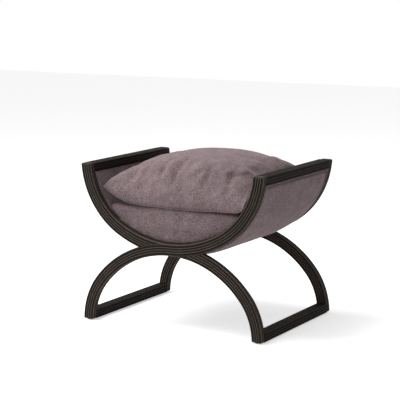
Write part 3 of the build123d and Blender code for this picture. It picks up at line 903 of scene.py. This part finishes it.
def turned_down(distance, width, drop):
    """How far pulled cloth sinks near its edge."""
    close = np.clip(1 - distance / width, 0, 1)
    return drop * close**2


def away_from_edge(distance, width):
    """Share from 0 at an edge to 1 from the given width on."""
    return np.clip(distance / width, 0, 1)


def ripple(run_length, rows, columns, depth, size, height, seed):
    """Slow unevenness of hand-pulled cloth."""
    out = np.empty((rows, columns))
    for i in range(rows):
        for j in range(columns):
            place = Vector((i * run_length / rows, j * depth / columns, seed)) / size
            out[i, j] = height * noise.noise(place)
    return out


# %% Build the outer cover
PLYWOOD_OUT = 5 * MM
COVER_OUT = 18.3 * MM
LAYER_THICKNESS = 15 * MM
OUTER_GRID = (220, 90)
OUTER_SWELL = 1.2 * MM
SWELL_WIDTH = 60 * MM
SAG = 10 * MM
SAG_WIDTH = 70 * MM
SAG_FROM_SHARE = 0.35
RIM_PULL = 2.5 * MM
RIM_PULL_FROM_Z = 400 * MM
RIM_PULL_HEIGHT = 90 * MM
WAVER = 0.7 * MM
WAVER_SIZE = 70 * MM
WAVER_WIDTH = 30 * MM
WAVER_SEED = 3.0
SWELL_POWER = 0.5
OUTER_TURN = (7 * MM, 3.2 * MM)

outer_run, outer_length = tub_run(0, LAYER_TOP, OUTER_GRID[0])
outer_ys = np.linspace(-LAYER_Y, LAYER_Y, OUTER_GRID[1])
from_edge = edge_distance(len(outer_run), outer_length, len(outer_ys), 2 * LAYER_Y)
facing_down = -outer_run[:, 3]
bottom_share = np.clip((facing_down - SAG_FROM_SHARE) / (1 - SAG_FROM_SHARE), 0, 1)[:, None]
rim_share = np.clip((outer_run[:, 1] - RIM_PULL_FROM_Z) / RIM_PULL_HEIGHT, 0, 1)[:, None]
sag = SAG * bottom_share * away_from_edge(from_edge, SAG_WIDTH) ** SWELL_POWER
swell = OUTER_SWELL * away_from_edge(from_edge, SWELL_WIDTH) ** SWELL_POWER + sag - RIM_PULL * rim_share
uneven = ripple(outer_length, *from_edge.shape, 2 * LAYER_Y, WAVER_SIZE, WAVER, WAVER_SEED)
wavers = uneven * away_from_edge(from_edge, WAVER_WIDTH)
outside = COVER_OUT + swell + wavers - turned_down(from_edge, *OUTER_TURN)
inside = np.maximum(PLYWOOD_OUT + SOFT_GAP, outside - LAYER_THICKNESS)
outer_cover = curved_layer("outer_cover_cloth", outer_run, outer_ys, inside, outside, body_cloth)
print("outer cover", round(outer_length, 3), "by", round(2 * LAYER_Y, 3), "m")

# %% [markdown]
# ## The inner side covers
#
# Inside each arm a foam pad lies against the plywood, and its cloth comes over the pad's edges and is
# tacked behind the seat. The same layer function makes it, with a thicker swell on the inner face.

# %% Build the inner side covers
PAD_OUT = -1.3 * MM
PAD_IN = -18.1 * MM
PAD_FOOT_X = 206 * MM
PAD_TOP_OVER = 1.5 * MM
PAD_GRID = (70, 120)
PAD_SWELL = 1.6 * MM
PAD_SWELL_WIDTH = 50 * MM
PAD_WAVER = 0.9 * MM
PAD_WAVER_SIZE = 55 * MM
PAD_WAVER_WIDTH = 25 * MM
PAD_WAVER_SEED = 7.0
PAD_SWELL_POWER = 0.6
PAD_TURN = (9 * MM, 6 * MM)

foot_angle = BOTTOM_ANGLE - degrees(asin(PAD_FOOT_X / TUB_R))
inner_run, inner_length = tub_run(0, LAYER_TOP + PAD_TOP_OVER, PAD_GRID[0], foot_angle, both_sides=False)
inner_ys = np.linspace(-INNER_Y + SOFT_GAP, INNER_Y - SOFT_GAP, PAD_GRID[1])
pad_edge = edge_distance(len(inner_run), inner_length, len(inner_ys), inner_ys[-1] - inner_ys[0])
inner_covers = []
for side, side_name in ((-1, "left"), (1, "right")):
    puffed = PAD_SWELL * away_from_edge(pad_edge, PAD_SWELL_WIDTH) ** PAD_SWELL_POWER
    seed = PAD_WAVER_SEED * side
    uneven = ripple(inner_length, *pad_edge.shape, 2 * INNER_Y, PAD_WAVER_SIZE, PAD_WAVER, seed)
    wavers = uneven * away_from_edge(pad_edge, PAD_WAVER_WIDTH)
    face = PAD_IN - puffed - wavers + turned_down(pad_edge, *PAD_TURN)
    run = inner_run * (side, 1, side, 1)
    back = np.full_like(face, PAD_OUT)
    inner_covers.append(curved_layer(f"{side_name}_inner_cushion", run, inner_ys, back, face, body_cloth))
print("inner side covers", round(inner_length, 3), "by", round(2 * INNER_Y, 3), "m")

# %% [markdown]
# ## Inflating with cloth simulation
#
# A cushion is a bag under pressure. Blender's cloth solver can blow up a closed mesh: gravity off, a
# steady inner pressure, and about two dozen frames. The evaluated object is then made a plain mesh, and
# every point's travel is capped, so that nothing goes further than the stuffing would push it.

# %% A helper that inflates a closed mesh
CLOTH_STEPS = 5
CLOTH_MASS = 0.3
TINY = 1e-9


def inflate(obj, pressure, frames, limit, stiffness, bending, shrink_group=None, shrink=0.0):
    """Runs a cloth simulation on the object and caps each point's travel."""
    before = coordinates(obj)
    modifier = obj.modifiers.new("cloth", "CLOTH")
    settings = modifier.settings
    settings.quality = CLOTH_STEPS
    settings.mass = CLOTH_MASS
    settings.tension_stiffness = stiffness
    settings.compression_stiffness = stiffness
    settings.shear_stiffness = stiffness / 2
    settings.bending_stiffness = bending
    settings.use_pressure = True
    settings.uniform_pressure_force = pressure
    settings.effector_weights.gravity = 0
    if shrink_group:
        settings.vertex_group_shrink = shrink_group
        settings.shrink_min = 0
        settings.shrink_max = shrink
    modifier.point_cache.frame_start = 1
    modifier.point_cache.frame_end = frames
    scene = bpy.context.scene
    for number in range(1, frames + 1):
        scene.frame_set(number)
    settle(obj)
    scene.frame_set(1)
    moved = coordinates(obj) - before
    far = np.linalg.norm(moved, axis=1, keepdims=True)
    set_coordinates(obj, before + moved * np.minimum(1, limit / np.maximum(far, TINY)))
    print(obj.name, "moved by up to", round(float(far.max()) / MM, 1), "mm")

# %% [markdown]
# ## The fixed seat
#
# The seat is a block of foam on webbing, under one cloth that is pulled over its rounded front edge and
# down into the tub. Rings of the seat's outline, smaller towards the front and rear faces, make the
# block. It is remeshed evenly, inflated a little, and then held inside the tub's curve so that it never
# comes through a leg.

# %% Outline of the seat
SEAT_SIDE = -19.8 * MM
SEAT_SPREAD = 3 * MM
SEAT_CROWN = CROWN_Z + 137 * MM
SEAT_EDGE = SEAT_CROWN - 6 * MM
SEAT_Y = INNER_Y + 6.5 * MM
SEAT_EDGE_R = 14 * MM
CORNER_CUT = 26 * MM
SEAT_START_INSET = 0.5 * MM
SIDE_INSET_SHARE = 0.2
CURVE_POINTS = 60
LOWER_POINTS = 110
CORNER_POINTS = 9


def seat_outline(inset):
    """Points round the seat's section: the tub's curve below, a low crown above and two rounded corners."""
    offset = SEAT_SIDE + SEAT_SPREAD - SIDE_INSET_SHARE * inset
    start = tub_angle(offset, SEAT_EDGE - inset)
    angles = np.linspace(start, BOTTOM_ANGLE, CURVE_POINTS)
    curve = np.array([tub_point(offset, a)[:2] for a in angles])
    curve = np.vstack([curve, curve[::-1][1:] * (-1, 1)])
    half = curve[0, 0]
    xs = np.linspace(-half, half, CURVE_POINTS)
    crown = np.stack([xs, SEAT_CROWN - inset - (SEAT_CROWN - SEAT_EDGE) * (xs / half) ** 2], 1)
    cut = CORNER_CUT - inset
    walked = walked_along(curve)
    lower = points_at(np.linspace(cut, walked[-1] - cut, LOWER_POINTS), curve, walked)
    upper_x = np.linspace(-half + cut, half - cut, CURVE_POINTS)
    upper = np.stack([upper_x, np.interp(upper_x, crown[:, 0], crown[:, 1])], 1)
    share = np.linspace(0, 1, CORNER_POINTS)[1:-1, None]

    def blend(a, corner, b):
        return (1 - share) ** 2 * a + 2 * share * (1 - share) * corner + share**2 * b

    left = blend(lower[-1], curve[-1], upper[0])
    right = blend(upper[-1], curve[0], lower[0])
    return np.vstack([lower, left, upper, right])


print("points round the seat:", len(seat_outline(0.0)))

# %% Block of the seat
EDGE_STEPS = 6


def seat_block():
    """Rings of the outline, smaller over the rounded front and rear edges, with a face at each end."""
    rings = []
    for k in range(EDGE_STEPS + 1):
        angle = pi / 2 * k / EDGE_STEPS
        rings.append((SEAT_EDGE_R * (1 - sin(angle)), SEAT_Y - SEAT_EDGE_R * (1 - cos(angle))))
    sections = [(inset, -y) for inset, y in rings] + [(inset, y) for inset, y in rings[::-1]]
    points = []
    for inset, y in sections:
        points += [(x, y, z) for x, z in seat_outline(inset + SEAT_START_INSET)]
    count = len(points) // len(sections)
    return mesh_object("seat_cushion", points, ring_faces(len(sections), count))


def hold_in_tub(points, offset):
    """Moves points that stand outside the tub's curve back onto it."""
    held = points.copy()
    x, z = np.abs(points[:, 0]), points[:, 2]
    angle = np.degrees(np.arctan2(ARM_CENTRE_Z - z, x - ARM_CENTRE_X))
    upper = angle < ARM_TURN
    arcs = ((upper, ARM_CENTRE_X, ARM_CENTRE_Z, ARM_R), (~upper, 0.0, TUB_CENTRE_Z, TUB_R))
    for chosen, cx, cz, radius in arcs:
        dx, dz = x[chosen] - cx, z[chosen] - cz
        far = np.hypot(dx, dz)
        pull = np.minimum(1, (radius + offset) / np.maximum(far, TINY))
        held[chosen, 0] = np.sign(points[chosen, 0]) * (cx + dx * pull)
        held[chosen, 2] = cz + dz * pull
    return held


# %% Build the seat
SEAT_VOXEL = 6 * MM
SEAT_PRESSURE = 4.0
SEAT_FRAMES = 20
SEAT_TRAVEL = 6 * MM
SEAT_STIFFNESS = 40.0
SEAT_BENDING = 5.0
SEAT_SMOOTHING = 0.6
SEAT_BULGE = 3 * MM
BULGE_HALF = 240 * MM
CUSHION_BEND = 80

seat = seat_block()
edit(seat, point_outwards)
remesh = seat.modifiers.new("remesh", "REMESH")
remesh.mode = "VOXEL"
remesh.voxel_size = SEAT_VOXEL
settle(seat)
inflate(seat, SEAT_PRESSURE, SEAT_FRAMES, SEAT_TRAVEL, SEAT_STIFFNESS, SEAT_BENDING)
smooth = seat.modifiers.new("smooth", "LAPLACIANSMOOTH")
smooth.iterations = 3
smooth.lambda_factor = SEAT_SMOOTHING
settle(seat)
seat_points = hold_in_tub(coordinates(seat), SEAT_SIDE)
bulge = SEAT_BULGE * np.clip(1 - (np.abs(seat_points[:, 0]) / BULGE_HALF) ** 2, 0, 1)
seat_points[:, 1] = np.clip(seat_points[:, 1], -SEAT_Y - bulge, SEAT_Y + bulge)
seat_points[:, 2] = np.minimum(seat_points[:, 2], SEAT_CROWN)
set_coordinates(seat, seat_points)


def finish_cushion(obj):
    """Subdivides a cushion once, and gives it its cloth and smooth shading."""
    finer = obj.modifiers.new("finer", "SUBSURF")
    finer.levels = finer.render_levels = 1
    settle(obj)
    edit(obj, point_outwards)
    obj.data.materials.clear()
    obj.data.materials.append(body_cloth)
    soften(obj, CUSHION_BEND)
    print_box(obj)


finish_cushion(seat)
print("faces of the seat:", len(seat.data.polygons))

# %% [markdown]
# ## The loose pillow
#
# A knife-edge pillow is two rectangles of cloth sewn together and stuffed. That is also how it is made
# here: two grids share their edge, start from the shape that the stuffing gives them, and go through the
# cloth solver with the seam set to shrink a little. That gives the puckers along the seam that only come
# from real cloth.

# %% How the stuffing fills the pillow
PILLOW_COLUMNS = 92
PILLOW_ROWS = 80
PILLOW_HALF_X = 262 * MM
PILLOW_HALF_Y = 236 * MM
PILLOW_THICKNESS = 154 * MM
ALONG_POWER = 2.5
LEFT_POWER = 0.41
RIGHT_POWER = 0.35
ACROSS_POWER = 3
FRONT_POWER = 0.6
PLUMPER_RIGHT = 0.047
PLUMPER_REAR = 0.1325
EVEN_SHARE = 0.55
BUNCHED_SHARE = 0.45


def fullness(u, v):
    """Thickness of the stuffed pillow at u and v from -1 to 1. It is plumper at the rear and the right."""
    along = max(0, 1 - abs(u) ** ALONG_POWER) ** (LEFT_POWER if u < 0 else RIGHT_POWER)
    across = max(0, 1 - abs(v) ** ACROSS_POWER) ** FRONT_POWER
    return PILLOW_THICKNESS * along * across * (1 + PLUMPER_RIGHT * u + PLUMPER_REAR * v)


def crowded(index, count):
    """Places from -1 to 1 that stand closer together towards both ends, where the folds are."""
    even = 2 * index / (count - 1) - 1
    return EVEN_SHARE * even + BUNCHED_SHARE * sin(pi / 2 * even)


print("the pillow's middle is", round(fullness(0, 0) / MM, 1), "mm thick")

# %% Sew and inflate the pillow
SEAM_SLACK = 1.03
PILLOW_PRESSURE = 3.0
PILLOW_FRAMES = 26
PILLOW_TRAVEL = 22 * MM
PILLOW_STIFFNESS = 14.0
PILLOW_BENDING = 0.25
SEAM_SHRINK = 0.1


def sewn_rectangles():
    """Two grids that share their edge. Returns the object, its seam in order and both grids' points."""
    nx, ny = PILLOW_COLUMNS, PILLOW_ROWS
    half_x, half_y = PILLOW_HALF_X * SEAM_SLACK, PILLOW_HALF_Y * SEAM_SLACK
    points, top, under = [], {}, {}
    for layer, table in ((1, top), (-1, under)):
        for i in range(nx):
            for j in range(ny):
                u, v = crowded(i, nx), crowded(j, ny)
                edge = i in (0, nx - 1) or j in (0, ny - 1)
                if edge and layer < 0:
                    table[i, j] = top[i, j]
                    continue
                table[i, j] = len(points)
                points.append((u * half_x, v * half_y, layer * fullness(u, v) / 2))
    faces = []
    for i in range(nx - 1):
        for j in range(ny - 1):
            corners = [(i, j), (i + 1, j), (i + 1, j + 1), (i, j + 1)]
            faces.append([top[c] for c in corners])
            faces.append([under[c] for c in corners[::-1]])
    ring = [(i, 0) for i in range(nx)] + [(nx - 1, j) for j in range(1, ny)]
    ring += [(i, ny - 1) for i in range(nx - 2, -1, -1)] + [(0, j) for j in range(ny - 2, 0, -1)]
    return mesh_object("pillow", points, faces), [top[c] for c in ring], top, under


pillow, seam, top_points, under_points = sewn_rectangles()
seam_group = pillow.vertex_groups.new(name="seam")
seam_group.add(seam, 1.0, "REPLACE")
cloth = (PILLOW_PRESSURE, PILLOW_FRAMES, PILLOW_TRAVEL, PILLOW_STIFFNESS, PILLOW_BENDING)
inflate(pillow, *cloth, "seam", SEAM_SHRINK)
flat = coordinates(pillow)
print("pillow in the air:", np.round(flat.min(0), 3), np.round(flat.max(0), 3))

# %% [markdown]
# ## Where the pillow lies
#
# A loose pillow takes the shape of what is under it. Its seam droops over the seat's front edge, and the
# tub's sides lift its ends. The seam's height is a short table of places along the front, in millimetres,
# read off the photograph with the fitted camera, and a second one at the rear, where the right end is
# pushed further up.

# %% The surface that the pillow lies on
LEFT_SEAM = [
    (-262, 456), (-240, 440), (-217, 427), (-195, 416.5), (-172, 408.5), (-140, 403), (-104, 400.5),
    (-50, 398.5), (0, 396.5),
]
FRONT_SEAM = [
    (45, 397), (90, 399), (125, 402), (160, 404.5), (214, 406), (240, 408), (253, 413), (262, 428),
]
REAR_SEAM = [(60, 401), (120, 403), (172, 403.5), (262, 448)]
REAR_FROM_Y = -50 * MM
REAR_TO_Y = 120 * MM
SEAT_TOP_HALF = 251 * MM
DROOP_START = 196 * MM


def seam_height(x, right_half):
    """Height of the pillow's seam, from the table of its left half and one of its right half."""
    xs, heights = zip(*(LEFT_SEAM + right_half))
    return np.interp(x / MM, xs, heights) * MM


def rest_height(x, y):
    """Height of the surface that the pillow's underside lies on."""
    crown = SEAT_CROWN + SOFT_GAP - (SEAT_CROWN - SEAT_EDGE) * (x / SEAT_TOP_HALF) ** 2
    front, rear = seam_height(x, FRONT_SEAM), seam_height(x, REAR_SEAM)
    share = np.clip((y - REAR_FROM_Y) / (REAR_TO_Y - REAR_FROM_Y), 0, 1)
    share = share * share * (3 - 2 * share)
    seam = front * (1 - share) + rear * share
    over = np.clip((np.abs(y) - DROOP_START) / (PILLOW_HALF_Y - DROOP_START), 0, 1)
    return max(crown, seam) * (1 - over**2) + seam * over**2


print("the pillow's seam at the front middle:", round(float(rest_height(0.0, -PILLOW_HALF_Y)), 4))

# %% [markdown]
# ## Puckers and creases
#
# What the solver gives is split in two: averaging the thickness many times keeps the big form and leaves
# the puckers, and only those are used, so that the stuffing stays as the photograph shows it. A few soft
# creases run down the pillow's front, where slack cloth hangs between stuffed parts. Each is a narrow
# bell curve that fades at both ends.

# %% Puckers and creases of the pillow
CREASE_DEPTH = 9.5 * MM
CREASE_SHARES = [
    (-0.30, 0.02, 0.035, 0.60, 0.75),
    (-0.19, 0.02, 0.040, 0.70, -0.45),
    (-0.08, 0.03, 0.035, 0.75, 0.90),
    (0.10, -0.05, 0.050, 0.80, 0.45),
    (0.34, 0.04, 0.045, 0.60, 0.60),
    (0.62, 0.10, 0.050, 0.70, 0.85),
    (-0.66, -0.08, 0.050, 0.60, 0.50),
]
EVENING_PASSES = 22
PUCKER_SHARE = 0.7
PUCKER_LIMIT = 6 * MM
CALM_SHARE = 0.7
CALM_FROM = -0.4
CALM_OVER = 0.6


def evened(grid, passes):
    """The grid with its small puckers averaged away. The edge keeps its values."""
    smooth = grid.copy()
    for _ in range(passes):
        around = smooth[:-2, 1:-1] + smooth[2:, 1:-1] + smooth[1:-1, :-2] + smooth[1:-1, 2:]
        smooth[1:-1, 1:-1] = (smooth[1:-1, 1:-1] + around / 4) / 2
    return smooth


def crease_depth(u, v):
    """Depth of the soft creases on the pillow's front, which slack cloth shows between its stuffed parts."""
    depth = 0.0
    for centre, lean, width, reach, share in CREASE_SHARES:
        down = min(1.0, max(0.0, (-v - 1 + reach) / reach))
        away = (u - centre - lean * down) / width
        depth += share * CREASE_DEPTH * sin(pi * down) * np.exp(-away * away)
    return depth


thick = np.zeros((PILLOW_COLUMNS, PILLOW_ROWS))
for (i, j), above in top_points.items():
    thick[i, j] = flat[above, 2] - flat[under_points[i, j], 2]
puckers = PUCKER_SHARE * np.clip(thick - evened(thick, EVENING_PASSES), -PUCKER_LIMIT, PUCKER_LIMIT)
print("puckers in mm:", np.round(puckers.min() / MM, 1), np.round(puckers.max() / MM, 1))

# %% Lay the pillow on the seat
half_x, half_y = np.abs(flat[:, :2]).max(0)
laid = flat.copy()
laid[:, 0] *= PILLOW_HALF_X / half_x
laid[:, 1] *= PILLOW_HALF_Y / half_y
for (i, j), above in top_points.items():
    below = under_points[i, j]
    u, v = crowded(i, PILLOW_COLUMNS), crowded(j, PILLOW_ROWS)
    calm = 1 - CALM_SHARE * min(1.0, max(0.0, (v - CALM_FROM) / CALM_OVER))
    full = max(0.0, fullness(u, v) + calm * puckers[i, j] - crease_depth(u, v)) if below != above else 0.0
    laid[above, 2] = rest_height(laid[above, 0], laid[above, 1]) + full
    if below != above:
        laid[below, 2] = rest_height(laid[below, 0], laid[below, 1])
set_coordinates(pillow, laid)
seam_path = [Vector(laid[i]) for i in seam]
pillow.vertex_groups.clear()
finish_cushion(pillow)

# %% [markdown]
# ## Welts and seams
#
# A welt is a cord in a sleeve of cloth, sewn along an edge. All welts here follow paths that are already
# known, so one geometry tree makes them: it sweeps a circle whose size wavers a little along the way,
# where the sleeve puckers at each stitch.

# %% Geometry tree for welts
WELT_SIDES = 12


def welt_tree():
    tree, given = new_tree(
        "welt",
        [
            ("Radius", "NodeSocketFloat"),
            ("Pucker pitch", "NodeSocketFloat"),
            ("Pucker share", "NodeSocketFloat"),
            ("Step", "NodeSocketFloat"),
            ("Material", "NodeSocketMaterial"),
        ],
    )
    path = make_node(tree, "GeometryNodeMeshToCurve", {"Mesh": given.outputs["Geometry"]})
    even = make_node(
        tree,
        "GeometryNodeResampleCurve",
        {"Curve": path.outputs[0], "Length": given.outputs["Step"]},
        mode="LENGTH",
    )
    length = make_node(tree, "GeometryNodeSplineParameter").outputs["Length"]
    phase = maths(tree, "MULTIPLY", maths(tree, "DIVIDE", length, given.outputs["Pucker pitch"]), 2 * pi)
    wave = maths(tree, "SINE", phase)
    size = maths(tree, "MULTIPLY_ADD", wave, given.outputs["Pucker share"], 1.0)
    ring_inputs = {"Resolution": WELT_SIDES, "Radius": given.outputs["Radius"]}
    circle = make_node(tree, "GeometryNodeCurvePrimitiveCircle", ring_inputs)
    swept = make_node(
        tree,
        "GeometryNodeCurveToMesh",
        {"Curve": even.outputs[0], "Profile Curve": circle.outputs[0], "Scale": size, "Fill Caps": True},
    )
    end_tree(tree, swept.outputs[0], given.outputs["Material"])
    return tree


welting = welt_tree()
print("welt tree with", len(welting.nodes), "nodes")

# %% Sew the welts and the pillow's seam
STITCH_PITCH = 6.5 * MM
PUCKER_OF_WELT = 0.06
WELT_STEP = 1.6 * MM
WELT_BEND = 70
WELT_OFFSET = COVER_OUT - WELT_R
WELT_LEVEL = RAIL_BOTTOM - WELT_R - SOFT_GAP
WELT_PATH_POINTS = 260
PILLOW_SEAM_R = 1.3 * MM


def welt(name, points, radius, closed=False):
    obj = path_object(name, points, closed)
    stitches = {"pucker_pitch": STITCH_PITCH, "pucker_share": PUCKER_OF_WELT, "step": WELT_STEP}
    apply_tree(obj, welting, radius=radius, material=welt_cloth, **stitches)
    edit(obj, point_outwards)
    soften(obj, WELT_BEND)
    return obj


welt_run = tub_run(WELT_OFFSET, LAYER_TOP, WELT_PATH_POINTS)[0]
edge_y = INNER_Y - SOFT_GAP - WELT_R
reach = INNER_Y - SOFT_GAP
sewn_welts = {}
for face, face_name in ((-1, "front"), (1, "rear")):
    name = f"outer_{face_name}_welt"
    sewn_welts[name] = welt(f"{name}_cord", [(x, face * edge_y, z) for x, z, *_ in welt_run], WELT_R)
for side, side_name in ((-1, "left"), (1, "right")):
    for kind, offset in (("outer", WELT_OFFSET), ("inner", PAD_IN + WELT_R)):
        x, z = tub_point(offset, tub_angle(offset, WELT_LEVEL))[:2]
        name = f"{side_name}_{kind}_top_welt"
        sewn_welts[name] = welt(f"{name}_cord", [(side * x, -reach, z), (side * x, reach, z)], WELT_R)
pillow_seam = welt("pillow_seam_edge", seam_path, PILLOW_SEAM_R, closed=True)
print("welts:", len(sewn_welts), "and the pillow's seam")

# %% [markdown]
# ## What each new piece stands for
#
# Each piece rides on a body of the model, and the CAD nodes that it replaces are hidden. The outer
# cover's flat size is printed.

# %% Ride and replace: wood and welts
for leg in legs:
    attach(leg, "stool")
    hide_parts(leg.name.replace("_leg", "_s_leg"))
for rail in rails:
    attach(rail, "stool")
    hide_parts(rail.name.replace("_reeded", ""))
for node, obj in sewn_welts.items():
    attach(obj, "stool")
    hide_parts(node)
print("legs, rails and welts:", len(legs) + len(rails) + len(sewn_welts))

# %% Ride and replace: cloth and cushions
for side_name, cover in zip(("left", "right"), inner_covers):
    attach(cover, "stool")
    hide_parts(f"{side_name}_inner_cover", f"{side_name}_inner_pad")
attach(outer_cover, "stool")
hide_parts("outer_cover", "outer_wadding")
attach(seat, "stool")
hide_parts("seat_cover", "seat_foam")
for obj in (pillow, pillow_seam):
    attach(obj, "pillow")
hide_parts("pillow_cover", "pillow_filling")
for spare in (leg_section, rail_section):
    remove(spare)
print("flat size of the outer cover:", round(2 * LAYER_Y, 4), "by", round(outer_length, 4), "m")

# %% [markdown]
# ## Finishes for the hidden parts
#
# The stretchers, seat rails, seat boards, plywood, dowels, screws, webbing and glides keep their CAD
# shapes, which are already right, and only get a better material in their slots.

# %% Materials on the CAD nodes
finishes = {
    plain_wood: (
        "centre_stretcher",
        "left_stretcher",
        "right_stretcher",
        "left_seat_rail",
        "right_seat_rail",
    ),
    plywood: ("plywood_tub", "front_seat_board", "rear_seat_board"),
    dowel_wood: ("rail_dowels", "stretcher_dowels"),
    screw_steel: ("crown_screws", "tub_screws"),
    glide_steel: ("foot_glides",),
    webbing_cloth: ("seat_webbing",),
}
for material, names in finishes.items():
    for name in names:
        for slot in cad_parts[name].material_slots:
            slot.material = material
print("finished CAD nodes:", sum(len(names) for names in finishes.values()))

# %% [markdown]
# ## The room
#
# The photograph is a catalogue cut-out: white all round, soft light from the front left and above. A pale
# floor carries the object's soft shadow, and the camera sees white behind it, while the cloth and wood
# are lit by a dimmer, even sky and two large lamps.

# %% Floor
FLOOR_HALF = 9.0
FLOOR_GLOW = 0.5
PALE = 0.9
PALER = 0.94
edges = (-FLOOR_HALF, FLOOR_HALF)
floor = mesh_object("floor", [(x, y, 0) for x in edges for y in edges], [(0, 2, 3, 1)])
floor_paint, floor_tree, floor_shader = new_material("floor_paint", Roughness=0.9, Specular_IOR_Level=0.1)
cloudy = noise_at(floor_tree, object_place(floor_tree), 2.0, 2)
colour_by(floor_tree, floor_shader, cloudy, [(0.0, (PALE, PALE, PALE)), (1.0, (PALER, PALER, PALER))])
floor_rays = make_node(floor_tree, "ShaderNodeLightPath").outputs
floor_seen = maths(floor_tree, "MAXIMUM", floor_rays["Is Camera Ray"], floor_rays["Is Glossy Ray"])
floor_glow = maths(floor_tree, "MULTIPLY", floor_seen, FLOOR_GLOW)
floor_shader.inputs["Emission Color"].default_value = (1, 1, 1, 1)
floor_tree.links.new(floor_glow, floor_shader.inputs["Emission Strength"])
floor.data.materials.append(floor_paint)
print("floor:", 2 * FLOOR_HALF, "m wide")

# %% World
SKY_LIGHT = 0.44
world = bpy.data.worlds.new("studio")
world.use_nodes = True
sky = world.node_tree
rays = make_node(sky, "ShaderNodeLightPath").outputs
mirrored = maths(sky, "MAXIMUM", rays["Is Glossy Ray"], rays["Is Transmission Ray"])
seen = maths(sky, "MAXIMUM", rays["Is Camera Ray"], mirrored)
background = sky.nodes["Background"]
background.inputs["Color"].default_value = (1, 1, 1, 1)
strength = maths(sky, "MULTIPLY_ADD", seen, 1.0 - SKY_LIGHT, SKY_LIGHT)
sky.links.new(strength, background.inputs["Strength"])
bpy.context.scene.world = world
print("sky light on the stool:", SKY_LIGHT)

# %% Lamps
LAMPS = {
    "key_lamp": {"place": (-1.3, -0.7, 3.0), "aim": (0, 0, 0.4), "size": 2.0, "power": 112},
    "front_lamp": {"place": (-2.4, -2.8, 1.5), "aim": (0, 0, 0.35), "size": 1.8, "power": 16},
}


def lamp(name, place, aim, size, power):
    data = bpy.data.lights.new(name, "AREA")
    data.shape = "SQUARE"
    data.size = size
    data.energy = power
    obj = bpy.data.objects.new(name, data)
    direction = Vector(aim) - Vector(place)
    turned = direction.to_track_quat("-Z", "Y").to_matrix().to_4x4()
    obj.matrix_world = Matrix.Translation(place) @ turned
    bpy.context.collection.objects.link(obj)


for name, values in LAMPS.items():
    lamp(name, **values)
bpy.context.scene.view_settings.view_transform = "Standard"
print("lamps:", ", ".join(LAMPS))
